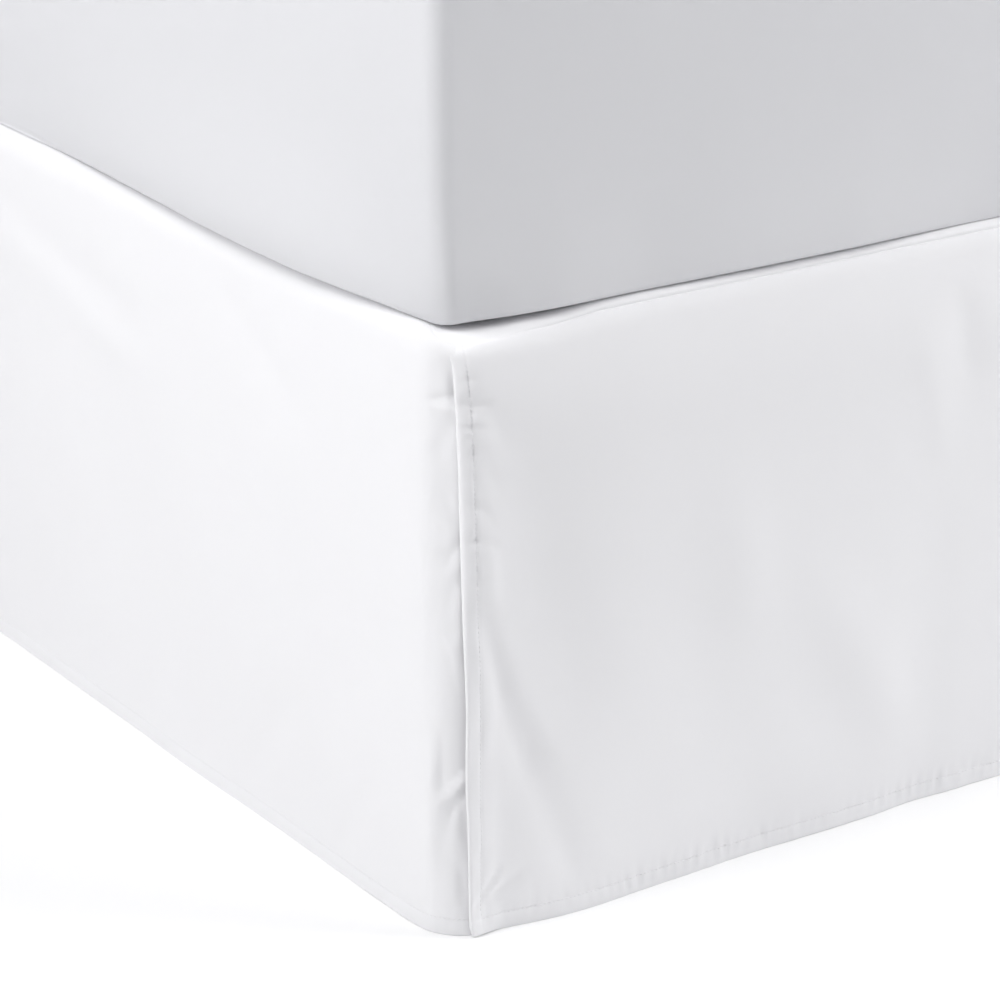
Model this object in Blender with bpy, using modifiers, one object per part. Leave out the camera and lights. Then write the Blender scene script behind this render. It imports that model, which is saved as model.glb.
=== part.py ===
"""A tailored bed skirt on a plain queen bed: a deck and three flat drops over a foundation on a steel frame.

Units are metres. +Z is up and the foot of the bed faces -Y.
The origin is on the floor, under the bed's middle.
"""

import math
from collections import namedtuple

import bmesh
import bpy
from mathutils import Vector

# ---- Driving dimensions ----
BED_WIDTH = 1.524
BED_LENGTH = 2.032
SKIRT_DROP = 0.406  # top of the deck above the floor: a 16 inch drop
FOUNDATION_THICKNESS = 0.229
MATTRESS_THICKNESS = 0.290
FOOT_FACE_Y = -1.0065  # foot end of the foundation
HEAD_FACE_Y = FOOT_FACE_Y + BED_LENGTH

# ---- Cloth ----
CLOTH = 0.0015  # thickness of a sheet with its hems
LAYER_GAP = 0.0005  # air between two layers of cloth
PIECE_GAP = 0.0003  # air between pieces that meet
EDGE_CLEARANCE = 0.002  # air between the cloth and the foundation's sides
STAND_OFF = EDGE_CLEARANCE + CLOTH  # outer face of a drop, out from the foundation
CORNER_RADIUS = 0.030  # outer face of the cloth round a foot corner, seen from above
SHOULDER_RADIUS = 0.015  # outer face of the cloth over the foundation's top edge
SEAM_TURN = math.radians(50)  # the deck and the drops are sewn together this far up the shoulder
SEAM_GAP = 0.0007  # on the outer faces: the sheets tilt towards each other under them
HEM_CLEARANCE = 0.0025  # the hem hangs this far above the floor
CORNER_RETURN = 0.070  # a side drop carries on this far behind the foot drop
SPLIT_REACH_TOP = 0.020  # at the shoulder the foot drop's end reaches this far round the corner
SPLIT_REACH_HEM = 0.0115  # and at the hem only this far
SPLIT_EASE = 0.6  # share of the drop over which the split's edge leans from the one to the other

# ---- The path of the drops round the bed ----
HALF_WIDTH = BED_WIDTH / 2 + STAND_OFF
FOOT_PLANE_Y = FOOT_FACE_Y - STAND_OFF
HALF_FOOT_RUN = HALF_WIDTH - CORNER_RADIUS
CORNER_RUN = CORNER_RADIUS * math.pi / 2
SIDE_START = HALF_FOOT_RUN + CORNER_RUN
PATH_END = SIDE_START + HEAD_FACE_Y - FOOT_PLANE_Y - CORNER_RADIUS

# ---- Foundation and mattress edges ----
FOUNDATION_CORNER_RADIUS = CORNER_RADIUS - STAND_OFF
FOUNDATION_FOOT_RADIUS = 0.006
MATTRESS_CORNER_RADIUS = 0.016
MATTRESS_TOP_RADIUS = 0.014
MATTRESS_FOOT_RADIUS = 0.012
EDGE_STEPS = 4

# ---- Mesh spacing: close together where the folds are narrow ----
SHOULDER_STEPS = 3
CORNER_STEPS = 6
DROP_ROWS = (0.0, 0.03, 0.08, 0.15, 0.23, 0.31, 0.39, 0.47, 0.55, 0.63, 0.71, 0.79, 0.87, 0.94, 1.0)
SPLIT_STEP = 0.004  # where the foot drop's ends bend round the corners
FOOT_END_ZONE = 0.08  # from each end of the foot drop
FOOT_LEFT_STEP = 0.009
FOOT_RIGHT_STEP = 0.020
FOOT_FOLD_ZONE = 0.42  # from its left end
FOOT_FOLD_STEP = 0.024
FOOT_STEP = 0.050
RETURN_STEP = 0.018
SIDE_END_ZONE = 0.10  # from a side drop's foot corner
SIDE_END_STEP = 0.014
SIDE_FOLD_ZONE = 0.56
SIDE_FOLD_STEP = 0.033
SIDE_STEP = 0.070

# ---- Steel frame ----
ANGLE_SIZE = 0.038
ANGLE_THICKNESS = 0.004
RAIL_X = BED_WIDTH / 2 - 0.050
RAIL_END_MARGIN = 0.040
CROSS_RAIL_Y = (-0.80, 0.0, 0.80)
LEG_X = RAIL_X - 0.022
LEG_Y = (-0.86, 0.06, 0.86)
LEG_RADIUS = 0.016
GLIDE_RADIUS = 0.024
GLIDE_HEIGHT = 0.012
GLIDE_CHAMFER = 0.003
LEG_SIDES = 16

# ---- Heights ----
FOUNDATION_TOP = SKIRT_DROP - CLOTH - PIECE_GAP
FOUNDATION_BOTTOM = FOUNDATION_TOP - FOUNDATION_THICKNESS
FRAME_TOP = FOUNDATION_BOTTOM - PIECE_GAP
MATTRESS_BOTTOM = SKIRT_DROP + PIECE_GAP
SHOULDER_FOOT = SKIRT_DROP - SHOULDER_RADIUS

# A fold is a soft ridge (out > 0) or trough (out < 0) along a straight line on a drop. Its upper and
# lower ends are given by their height z and their distance "at" from the square corner where the planes
# of the drops meet.
Fold = namedtuple("Fold", "upper_at upper_z lower_at lower_z width out")
# A sway is a wide wave in a drop that fades out towards the shoulder.
Sway = namedtuple("Sway", "length phase out")

FLARE_CURVE = 1.3  # the foot drop stands out in a slight curve down to its hem
SIDE_FLARE = 0.0035  # how far the hem of a side drop stands out
FOOT_FLARE = 0.0090  # how far the hem of the foot drop stands out along its middle
END_FLARE = 0.0010  # and near its ends
END_WIDTH = 0.090
TIP_FLARE = 0.0030  # its bottom corners turn out by this much more
TIP_WIDTH = 0.014
SHOULDER_EASE = 0.12  # share of the drop over which the folds grow under the shoulder
CORNER_EASE = 0.10  # and the length over which a side drop's folds grow from its foot corner

# Measured from the left corner.
FOOT_FOLDS = (
    Fold(0.026, 0.270, 0.062, 0.140, 0.013, -0.0042),
    Fold(0.062, 0.140, 0.098, 0.050, 0.022, -0.0022),
    Fold(0.036, 0.140, 0.050, 0.050, 0.014, 0.0024),
    Fold(0.070, 0.350, 0.095, 0.240, 0.034, -0.0024),
    Fold(0.252, 0.275, 0.258, 0.230, 0.026, 0.0022),
    Fold(0.190, 0.160, 0.225, 0.030, 0.034, -0.0018),
    Fold(0.335, 0.195, 0.388, 0.105, 0.020, 0.0034),
    Fold(0.300, 0.090, 0.345, 0.020, 0.028, -0.0020),
    Fold(0.410, 0.370, 0.418, 0.300, 0.014, -0.0020),
    Fold(0.560, 0.300, 0.620, 0.000, 0.055, 0.0042),
    Fold(0.740, 0.350, 0.720, 0.040, 0.060, -0.0040),
    Fold(0.900, 0.280, 0.860, 0.000, 0.050, 0.0045),
    Fold(1.090, 0.330, 1.060, 0.080, 0.055, -0.0035),
    Fold(1.250, 0.260, 1.200, 0.000, 0.045, 0.0042),
    Fold(1.400, 0.300, 1.440, 0.020, 0.035, -0.0030),
    Fold(1.490, 0.240, 1.455, 0.080, 0.020, -0.0034),
)
# Measured from the left corner.
LEFT_FOLDS = (
    Fold(0.560, 0.350, 0.410, 0.318, 0.016, -0.0022),
    Fold(0.560, 0.325, 0.400, 0.285, 0.018, 0.0020),
    Fold(0.262, 0.372, 0.180, 0.318, 0.016, -0.0014),
    Fold(0.240, 0.070, 0.180, 0.020, 0.022, -0.0018),
    Fold(0.205, 0.100, 0.140, 0.000, 0.024, 0.0018),
    Fold(0.430, 0.220, 0.330, 0.000, 0.055, -0.0026),
    Fold(0.760, 0.340, 0.690, 0.000, 0.060, 0.0046),
    Fold(0.980, 0.300, 0.930, 0.020, 0.055, -0.0040),
    Fold(1.190, 0.350, 1.230, 0.000, 0.060, 0.0046),
    Fold(1.420, 0.320, 1.390, 0.000, 0.055, -0.0040),
    Fold(1.640, 0.330, 1.700, 0.000, 0.060, 0.0046),
    Fold(1.880, 0.300, 1.850, 0.000, 0.050, -0.0034),
)
# Measured from the right corner.
RIGHT_FOLDS = (
    Fold(0.180, 0.320, 0.110, 0.000, 0.040, 0.0030),
    Fold(0.360, 0.350, 0.290, 0.060, 0.045, -0.0030),
    Fold(0.540, 0.300, 0.560, 0.000, 0.055, 0.0044),
    Fold(0.790, 0.340, 0.730, 0.000, 0.055, -0.0040),
    Fold(1.010, 0.280, 1.040, 0.000, 0.060, 0.0046),
    Fold(1.270, 0.350, 1.220, 0.040, 0.050, -0.0036),
    Fold(1.500, 0.310, 1.460, 0.000, 0.060, 0.0044),
    Fold(1.760, 0.340, 1.800, 0.000, 0.055, -0.0040),
    Fold(1.930, 0.260, 1.900, 0.000, 0.040, 0.0030),
)
FOOT_SWAYS = (Sway(0.52, 0.2, 0.0016), Sway(0.31, 2.3, 0.0009))
LEFT_SWAYS = (Sway(0.61, 2.1, 0.0014), Sway(0.37, 0.4, 0.0010))
RIGHT_SWAYS = (Sway(0.57, 0.7, 0.0018), Sway(0.34, 3.0, 0.0012))
HEM_SWAYS = (Sway(0.43, 1.1, 0.0007), Sway(0.171, 0.3, 0.0004))

WHITE_CLOTH = (0.88, 0.88, 0.89)
SHEET_CLOTH = (0.80, 0.80, 0.82)
TICKING = (0.72, 0.70, 0.66)
BLACK_STEEL = (0.05, 0.05, 0.05)
CLOTH_ROUGHNESS = 0.85
TICKING_ROUGHNESS = 0.90
STEEL_ROUGHNESS = 0.45
STEEL_METALLIC = 0.6


def smooth(x):
    """0 below 0, 1 above 1, and a soft S between."""
    x = min(1.0, max(0.0, x))
    return x * x * (3 - 2 * x)


def round_the_bed(along):
    """A point of the drops' outer face under the shoulder, and which way is out.

    along is 0 at the middle of the foot, and grows along the foot, round the corner and up the right side.
    It is negative on the left.
    """
    side = -1 if along < 0 else 1
    far = abs(along)
    if far <= HALF_FOOT_RUN:
        point, out = (far, FOOT_PLANE_Y), (0.0, -1.0)
    elif far <= SIDE_START:
        turn = (far - HALF_FOOT_RUN) / CORNER_RADIUS
        out = (math.sin(turn), -math.cos(turn))
        point = (
            HALF_FOOT_RUN + CORNER_RADIUS * out[0],
            FOOT_PLANE_Y + CORNER_RADIUS * (1 + out[1]),
        )
    else:
        point, out = (HALF_WIDTH, FOOT_PLANE_Y + CORNER_RADIUS + far - SIDE_START), (1.0, 0.0)
    return Vector((side * point[0], point[1], 0)), Vector((side * out[0], out[1], 0))


def fold_depth(at, z, folds):
    """How far the folds push a point out. A fold has a round section, and dies away past its ends."""
    total = 0.0
    for fold in folds:
        start = Vector((fold.upper_at, fold.upper_z))
        run = Vector((fold.lower_at, fold.lower_z)) - start
        to_point = Vector((at, z)) - start
        share = to_point.dot(run) / run.length_squared
        away = (to_point - run * share).length
        past_end = max(0.0, -share, share - 1) * run.length
        total += fold.out * math.exp(-((away / fold.width) ** 2) - (past_end / (2 * fold.width)) ** 2)
    return total


def sway_depth(at, sways):
    return sum(s.out * math.sin(2 * math.pi * at / s.length + s.phase) for s in sways)


def foot_drop_out(along, z):
    """How far the foot drop's outer face stands out from the path, over the returns of the side drops."""
    at = along + HALF_WIDTH
    hang = max(0.0, 1 - z / SHOULDER_FOOT)
    ease_in = smooth(hang / SHOULDER_EASE)
    below_seam = 1 - (z - SHOULDER_FOOT) / (SHOULDER_RADIUS * math.sin(SEAM_TURN))
    over_return = (CLOTH + LAYER_GAP) * smooth(below_seam)
    from_end = HALF_FOOT_RUN - abs(along)
    loose = (END_FLARE + (FOOT_FLARE - END_FLARE) * smooth(from_end / END_WIDTH)) * hang**FLARE_CURVE
    loose += (sway_depth(at, FOOT_SWAYS) * hang + fold_depth(at, z, FOOT_FOLDS)) * ease_in
    tip = TIP_FLARE * smooth(1 - from_end / TIP_WIDTH) * smooth(hang) ** 2
    return over_return + max(loose, 0.0) + tip


def side_drop_out(along, z):
    """How far a side drop's outer face stands out from the path. Behind the foot drop it hangs flat."""
    folds, sways = (LEFT_FOLDS, LEFT_SWAYS) if along < 0 else (RIGHT_FOLDS, RIGHT_SWAYS)
    from_corner = abs(along) - SIDE_START
    at = from_corner + CORNER_RADIUS
    hang = max(0.0, 1 - z / SHOULDER_FOOT)
    out = SIDE_FLARE * hang * smooth(from_corner / CORNER_RUN + 1)
    loose = sway_depth(at, sways) * hang + fold_depth(at, z, folds)
    out += loose * smooth(from_corner / CORNER_EASE) * smooth(hang / SHOULDER_EASE)
    return max(out, -EDGE_CLEARANCE / 2)


def on_drop(along, down, out_of_path):
    """A point of a drop's outer face. down is -1 at the seam, 0 at the shoulder's foot and 1 at the hem."""
    base, out = round_the_bed(along)
    turn = max(0.0, -down) * SEAM_TURN
    if down < 0:
        base -= out * SHOULDER_RADIUS * (1 - math.cos(turn))
        z = SHOULDER_FOOT + SHOULDER_RADIUS * math.sin(turn)
    else:
        hem_z = HEM_CLEARANCE + sway_depth(along, HEM_SWAYS)
        z = SHOULDER_FOOT + down * (hem_z - SHOULDER_FOOT)
    away = out * math.cos(turn) + Vector((0, 0, math.sin(turn)))
    return base + Vector((0, 0, z)) + away * out_of_path(along, z)


def spread(start, end, spacing):
    """Even steps from start to end, end left out."""
    count = max(1, round((end - start) / spacing))
    return [start + (end - start) * i / count for i in range(count)]


def foot_stations():
    """Places along the foot drop, close together near its left end, where the folds are narrow."""
    end = HALF_FOOT_RUN + SPLIT_REACH_HEM
    end_zone = -HALF_FOOT_RUN + FOOT_END_ZONE
    fold_zone = -HALF_FOOT_RUN + FOOT_FOLD_ZONE
    places = spread(-end, -HALF_FOOT_RUN, SPLIT_STEP)
    places += spread(-HALF_FOOT_RUN, end_zone, FOOT_LEFT_STEP)
    places += spread(end_zone, fold_zone, FOOT_FOLD_STEP)
    places += spread(fold_zone, -end_zone, FOOT_STEP)
    places += spread(-end_zone, HALF_FOOT_RUN, FOOT_RIGHT_STEP)
    places += spread(HALF_FOOT_RUN, end, SPLIT_STEP)
    return places + [end]


def corner_stations():
    return spread(HALF_FOOT_RUN, SIDE_START, CORNER_RUN / CORNER_STEPS)


def side_stations():
    """Places along a side drop, from the end of its return to the head."""
    end_zone = SIDE_START + SIDE_END_ZONE
    fold_zone = SIDE_START + SIDE_FOLD_ZONE
    places = spread(HALF_FOOT_RUN - CORNER_RETURN, HALF_FOOT_RUN, RETURN_STEP)
    places += corner_stations()
    places += spread(SIDE_START, end_zone, SIDE_END_STEP)
    places += spread(end_zone, fold_zone, SIDE_FOLD_STEP)
    places += spread(fold_zone, PATH_END, SIDE_STEP)
    return places + [PATH_END]


def material(name, colour, roughness, metallic=0.0):
    made = bpy.data.materials.new(name)
    made.use_nodes = True
    shader = made.node_tree.nodes["Principled BSDF"]
    shader.inputs["Base Color"].default_value = (*colour, 1)
    shader.inputs["Roughness"].default_value = roughness
    shader.inputs["Metallic"].default_value = metallic
    return made


def add_object(name, bm, finish):
    mesh = bpy.data.meshes.new(name)
    bm.to_mesh(mesh)
    bm.free()
    mesh.materials.append(finish)
    made = bpy.data.objects.new(name, mesh)
    parts.objects.link(made)
    return made


def thicken(sheet):
    """Give a sheet its thickness, inwards from the outer face."""
    sheet.data.shade_smooth()
    wall = sheet.modifiers.new("thickness", "SOLIDIFY")
    wall.thickness = CLOTH
    wall.offset = -1
    wall.use_even_offset = True


def add_drop(name, stations, place, keeps=lambda along, down: True):
    """A drop: a grid of its stations by its rows, laid on its outer face by place(along, down).

    keeps(along, down) says whether the square that starts there is cloth.
    """
    levels = [-1 + i / SHOULDER_STEPS for i in range(SHOULDER_STEPS)] + list(DROP_ROWS)
    bm = bmesh.new()
    grid = [[bm.verts.new(place(along, down)) for down in levels] for along in stations]
    for i in range(len(stations) - 1):
        for j in range(len(levels) - 1):
            if keeps((stations[i] + stations[i + 1]) / 2, levels[j]):
                bm.faces.new((grid[i][j], grid[i][j + 1], grid[i + 1][j + 1], grid[i + 1][j]))
    loose = [v for v in bm.verts if not v.link_faces]
    bmesh.ops.delete(bm, geom=loose, context="VERTS")
    made = add_object(name, bm, skirt_cloth)
    thicken(made)
    return made


def add_foot_drop():
    """The foot drop. Its hemmed ends reach a little round each corner, further at the top than below."""

    def place(along, down):
        past = abs(along) - HALF_FOOT_RUN
        if past > 0:
            reach = SPLIT_REACH_TOP + (SPLIT_REACH_HEM - SPLIT_REACH_TOP) * smooth(down / SPLIT_EASE)
            along = math.copysign(HALF_FOOT_RUN + past * reach / SPLIT_REACH_HEM, along)
        return on_drop(along, down, foot_drop_out)

    add_drop("foot_drop", foot_stations(), place)


def add_side_drop(name, side):
    """A side drop. It wraps the foot corner and, under the shoulder, carries on behind the foot drop."""
    sewn_from = HALF_FOOT_RUN + SPLIT_REACH_TOP + 2 * PIECE_GAP
    stations = sorted(side * s for s in side_stations() + [sewn_from])

    def place(along, down):
        return on_drop(along, down, side_drop_out)

    def keeps(along, down):
        return down >= 0 or abs(along) > sewn_from

    add_drop(name, stations, place, keeps)


def add_deck():
    """The deck: a sheet on the foundation whose rim rolls down the shoulder to the seam with the drops."""
    half = [0.0] + corner_stations() + [SIDE_START, PATH_END]
    stations = [-s for s in reversed(half[1:])] + half
    turns = [math.pi / 2 - (math.pi / 2 - SEAM_TURN) * i / SHOULDER_STEPS for i in range(SHOULDER_STEPS + 1)]
    bm = bmesh.new()
    rows = []
    for turn in turns[:-1] + [turns[-1] + SEAM_GAP / SHOULDER_RADIUS]:
        row = []
        for along in stations:
            base, out = round_the_bed(along)
            inset = SHOULDER_RADIUS * (1 - math.cos(turn))
            z = SHOULDER_FOOT + SHOULDER_RADIUS * math.sin(turn)
            row.append(bm.verts.new(base - out * inset + Vector((0, 0, z))))
        rows.append(row)
    bm.faces.new(rows[0])
    for upper, lower in zip(rows, rows[1:]):
        for i in range(len(stations) - 1):
            bm.faces.new((upper[i], lower[i], lower[i + 1], upper[i + 1]))
    made = add_object("deck", bm, deck_cloth)
    thicken(made)


def rounded_box(low, high, upright_radius, top_radius, foot_radius):
    """A box with its upright edges rounded first, then the edges of its top and bottom."""
    bm = bmesh.new()
    bmesh.ops.create_cube(bm, size=1)
    for vertex in bm.verts:
        vertex.co = Vector(h if c > 0 else b for c, b, h in zip(vertex.co, low, high))

    def round_edges(chosen, radius):
        edges = [e for e in bm.edges if chosen(*(v.co.z for v in e.verts))]
        bmesh.ops.bevel(bm, geom=edges, offset=radius, segments=EDGE_STEPS, profile=0.5, affect="EDGES")

    tiny = 1e-6
    round_edges(lambda a, b: abs(a - b) > tiny, upright_radius)
    round_edges(lambda a, b: min(a, b) > high[2] - tiny, top_radius)
    round_edges(lambda a, b: max(a, b) < low[2] + tiny, foot_radius)
    return bm


def add_foundation():
    low = (-BED_WIDTH / 2, FOOT_FACE_Y, FOUNDATION_BOTTOM)
    high = (BED_WIDTH / 2, HEAD_FACE_Y, FOUNDATION_TOP)
    bm = rounded_box(low, high, FOUNDATION_CORNER_RADIUS, SHOULDER_RADIUS, FOUNDATION_FOOT_RADIUS)
    add_object("foundation", bm, ticking)


def add_mattress():
    low = (-BED_WIDTH / 2, FOOT_FACE_Y, MATTRESS_BOTTOM)
    high = (BED_WIDTH / 2, HEAD_FACE_Y, MATTRESS_BOTTOM + MATTRESS_THICKNESS)
    bm = rounded_box(low, high, MATTRESS_CORNER_RADIUS, MATTRESS_TOP_RADIUS, MATTRESS_FOOT_RADIUS)
    add_object("mattress", bm, sheet_cloth)


def add_angle(name, length, location, rotation):
    """A length of steel angle: an L outline, extruded both ways from its middle."""
    outline = bpy.data.curves.new(name, "CURVE")
    outline.dimensions = "2D"
    outline.fill_mode = "BOTH"
    outline.extrude = length / 2
    spline = outline.splines.new("POLY")
    wide, thick = ANGLE_SIZE, ANGLE_THICKNESS
    corners = ((0, 0), (wide, 0), (wide, -thick), (thick, -thick), (thick, -wide), (0, -wide))
    spline.points.add(len(corners) - 1)
    for point, (x, y) in zip(spline.points, corners):
        point.co = (x, y, 0, 1)
    spline.use_cyclic_u = True
    made = bpy.data.objects.new(name, outline)
    outline.materials.append(black_steel)
    made.location = location
    made.rotation_euler = rotation
    parts.objects.link(made)


def add_frame():
    """Two side rails and three cross rails of steel angle, each cross rail between the two side rails."""
    quarter = math.pi / 2
    length = BED_LENGTH - 2 * RAIL_END_MARGIN
    middle_y = (FOOT_FACE_Y + HEAD_FACE_Y) / 2
    add_angle("side_rail_left", length, (-RAIL_X, middle_y, FRAME_TOP), (quarter, 0, 0))
    add_angle("side_rail_right", length, (RAIL_X, middle_y, FRAME_TOP), (quarter, 0, 2 * quarter))
    span = 2 * (RAIL_X - ANGLE_SIZE - PIECE_GAP)
    for number, y in enumerate(CROSS_RAIL_Y, 1):
        add_angle(f"cross_rail_{number}", span, (0, y, FRAME_TOP), (quarter, 0, quarter))


def add_leg(name, x, y):
    """A round leg on a flat glide, turned about its upright axis."""
    height = FRAME_TOP - ANGLE_THICKNESS - PIECE_GAP
    profile = (
        (0, height),
        (LEG_RADIUS, height),
        (LEG_RADIUS, GLIDE_HEIGHT),
        (GLIDE_RADIUS, GLIDE_HEIGHT - GLIDE_CHAMFER),
        (GLIDE_RADIUS, GLIDE_CHAMFER),
        (GLIDE_RADIUS - GLIDE_CHAMFER, 0),
        (0, 0),
    )
    bm = bmesh.new()
    points = [bm.verts.new((r, 0, z)) for r, z in profile]
    for start, end in zip(points, points[1:]):
        bm.edges.new((start, end))
    made = add_object(name, bm, black_steel)
    made.location = (x, y, 0)
    turned = made.modifiers.new("turned", "SCREW")
    turned.axis = "Z"
    turned.steps = turned.render_steps = LEG_SIDES
    turned.use_merge_vertices = True
    turned.merge_threshold = 0.00005


def add_legs():
    for side, x in (("left", -LEG_X), ("right", LEG_X)):
        for number, y in enumerate(LEG_Y, 1):
            add_leg(f"leg_{side}_{number}", x, y)


for old in list(bpy.data.objects):
    bpy.data.objects.remove(old, do_unlink=True)
parts = bpy.data.collections.new("bed_skirt")
bpy.context.scene.collection.children.link(parts)
skirt_cloth = material("skirt_cloth", WHITE_CLOTH, CLOTH_ROUGHNESS)
deck_cloth = material("deck_cloth", WHITE_CLOTH, CLOTH_ROUGHNESS)
sheet_cloth = material("sheet_cloth", SHEET_CLOTH, CLOTH_ROUGHNESS)
ticking = material("ticking", TICKING, TICKING_ROUGHNESS)
black_steel = material("black_steel", BLACK_STEEL, STEEL_ROUGHNESS, STEEL_METALLIC)

add_foot_drop()
add_side_drop("side_drop_left", -1)
add_side_drop("side_drop_right", 1)
add_deck()
add_foundation()
add_mattress()
add_frame()
add_legs()
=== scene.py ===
import math
from collections import namedtuple

import bmesh
import bpy
import numpy as np
from mathutils import Matrix, Vector


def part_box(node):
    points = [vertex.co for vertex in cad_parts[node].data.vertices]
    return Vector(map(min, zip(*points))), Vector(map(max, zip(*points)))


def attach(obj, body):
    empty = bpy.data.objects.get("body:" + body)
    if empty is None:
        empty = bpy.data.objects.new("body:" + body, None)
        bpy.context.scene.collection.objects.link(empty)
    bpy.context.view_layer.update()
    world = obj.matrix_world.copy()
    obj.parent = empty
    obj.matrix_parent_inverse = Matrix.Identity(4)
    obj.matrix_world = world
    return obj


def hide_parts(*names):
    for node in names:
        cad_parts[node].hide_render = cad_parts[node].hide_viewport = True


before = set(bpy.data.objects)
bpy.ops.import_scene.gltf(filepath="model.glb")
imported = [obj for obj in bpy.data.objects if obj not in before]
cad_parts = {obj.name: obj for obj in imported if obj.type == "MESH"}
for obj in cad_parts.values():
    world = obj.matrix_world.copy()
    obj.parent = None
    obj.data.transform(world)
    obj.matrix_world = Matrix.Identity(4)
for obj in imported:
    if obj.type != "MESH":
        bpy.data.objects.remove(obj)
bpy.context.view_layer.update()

scene = bpy.context.scene

# ---- Studio ----
# A wide pale floor in a dim room. Two softboxes stand on the left, one in front on each side, a large one high
# on the right, one beyond the head and one on the right side. The camera stands off the left foot corner and
# looks a little down on it through a long lens.
FLOOR_SIZE = 16.0
CAMERA_AT = (-1.88014, -2.72207, 1.07508)
CAMERA_AZIMUTH = math.radians(-34.03)
CAMERA_ELEVATION = math.radians(20.675)
CAMERA_LENS = 129.70
CAMERA_SENSOR = 36.0


def node(tree, kind, inputs=None, **settings):
    """A shader node. Inputs are given values or joined to other nodes' outputs; its outputs come back."""
    made = tree.nodes.new("ShaderNode" + kind)
    for name, value in settings.items():
        setattr(made, name, value)
    for name, value in (inputs or {}).items():
        if isinstance(value, bpy.types.NodeSocket):
            tree.links.new(value, made.inputs[name])
        else:
            made.inputs[name].default_value = value
    return made.outputs


def new_finish(name, **values):
    """A new material, its node tree and its shader, with the shader's even values set."""
    made = bpy.data.materials.new(name)
    made.use_nodes = True
    shader = made.node_tree.nodes["Principled BSDF"]
    for key, value in values.items():
        shader.inputs[key.replace("_", " ")].default_value = value
    return made, made.node_tree, shader


def two_tone(tree, share, first, second):
    """A colour between first and second by share, 0 to 1."""
    return node(tree, "Mix", {0: share, 6: (*first, 1), 7: (*second, 1)}, data_type="RGBA")[2]


bpy.ops.object.select_all(action="DESELECT")
bpy.ops.mesh.primitive_plane_add(size=FLOOR_SIZE, location=(0, 0, 0))
floor = bpy.context.object
floor.name = "floor"
floor_paint, tree, shader = new_finish("floor_paint", Roughness=0.9, Specular_IOR_Level=0.1)
mottle = node(tree, "TexNoise", {"Vector": node(tree, "TexCoord")["Object"], "Scale": 1.5})["Fac"]
paint = two_tone(tree, mottle, (0.965, 0.965, 0.965), (0.975, 0.975, 0.975))
tree.links.new(paint, shader.inputs["Base Color"])
floor.data.materials.append(floor_paint)

sky = bpy.data.worlds.new("studio")
sky.use_nodes = True
room_light = sky.node_tree.nodes["Background"].inputs
room_light["Color"].default_value = (0.97, 0.98, 1.05, 1)
room_light["Strength"].default_value = 0.13
scene.world = sky
scene.view_settings.view_transform = "Standard"


def softbox(name, at, aim, size, watts):
    """A square light, turned towards a point."""
    bpy.ops.object.light_add(type="AREA", location=at)
    light = bpy.context.object
    light.name = name
    light.rotation_euler = (Vector(at) - Vector(aim)).to_track_quat("Z", "Y").to_euler()
    light.data.size = size
    light.data.energy = watts
    light.visible_camera = False


softbox("left_low", (-2.4, -0.6, 1.6), (-0.7, -0.6, 0.4), 1.5, 24)
softbox("left_high", (-1.9, -0.9, 2.6), (-0.8, -0.8, 0.6), 1.2, 22.5)
softbox("front_left", (-1.6, -2.6, 3.4), (-0.6, -1.0, 0.3), 1.5, 16)
softbox("front_right", (1.6, -2.6, 1.4), (0.4, -1.0, 0.4), 1.2, 29)
softbox("right_high", (2.5, -2.5, 4.0), (-0.2, -1.0, 0.0), 2.5, 71)
softbox("head_side", (1.0, 4.2, 2.6), (0.2, 1.0, 0.4), 2.0, 90)
softbox("right_side", (4.2, 0.6, 2.4), (0.8, 0.2, 0.4), 2.0, 40)

bpy.ops.object.camera_add(location=CAMERA_AT)
camera = bpy.context.object
camera.name = "camera"
backwards = Vector((
    math.sin(CAMERA_AZIMUTH) * math.cos(CAMERA_ELEVATION),
    -math.cos(CAMERA_AZIMUTH) * math.cos(CAMERA_ELEVATION),
    math.sin(CAMERA_ELEVATION),
))
camera.rotation_euler = backwards.to_track_quat("Z", "Y").to_euler()
camera.data.sensor_width = CAMERA_SENSOR
camera.data.lens = CAMERA_LENS
scene.camera = camera

# ---- Steel bed frame ----
# Angle rails and tube legs in black baked enamel over steel, with a pair of rivets at each crossing. The legs
# stand on flat glides of black plastic. The frame's own solids have the right shape and stay.
GLIDE_TOP = 0.0122
RIVET_RADIUS = 0.0055
RIVET_SPACING = 0.018
RIVET_INSET = 0.014  # in from the end of the cross rail
ANGLE_THICKNESS = 0.004

enamel, tree, shader = new_finish("black_enamel", Specular_IOR_Level=0.45)
place = node(tree, "TexCoord")["Object"]
height = node(tree, "SeparateXYZ", {0: place})["Z"]
is_steel = node(tree, "Math", {0: height, 1: GLIDE_TOP}, operation="GREATER_THAN")[0]
blotch = node(tree, "TexNoise", {"Vector": place, "Scale": 45.0, "Detail": 4.0})["Fac"]
orange_peel = node(tree, "TexNoise", {"Vector": place, "Scale": 650.0, "Detail": 2.0})["Fac"]
tint = two_tone(tree, blotch, (0.018, 0.018, 0.019), (0.040, 0.040, 0.042))
tint = node(tree, "Mix", {0: is_steel, 6: (0.012, 0.012, 0.012, 1), 7: tint}, data_type="RGBA")[2]
tree.links.new(tint, shader.inputs["Base Color"])
gloss = node(tree, "MapRange", {"Value": blotch, "To Min": 0.34, "To Max": 0.52})[0]
matt = node(tree, "Mix", {0: is_steel, 2: 0.62, 3: gloss}, data_type="FLOAT")[0]
tree.links.new(matt, shader.inputs["Roughness"])
peel = node(tree, "Bump", {"Strength": 0.35, "Distance": 0.0003, "Height": orange_peel})[0]
tree.links.new(peel, shader.inputs["Normal"])
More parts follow.
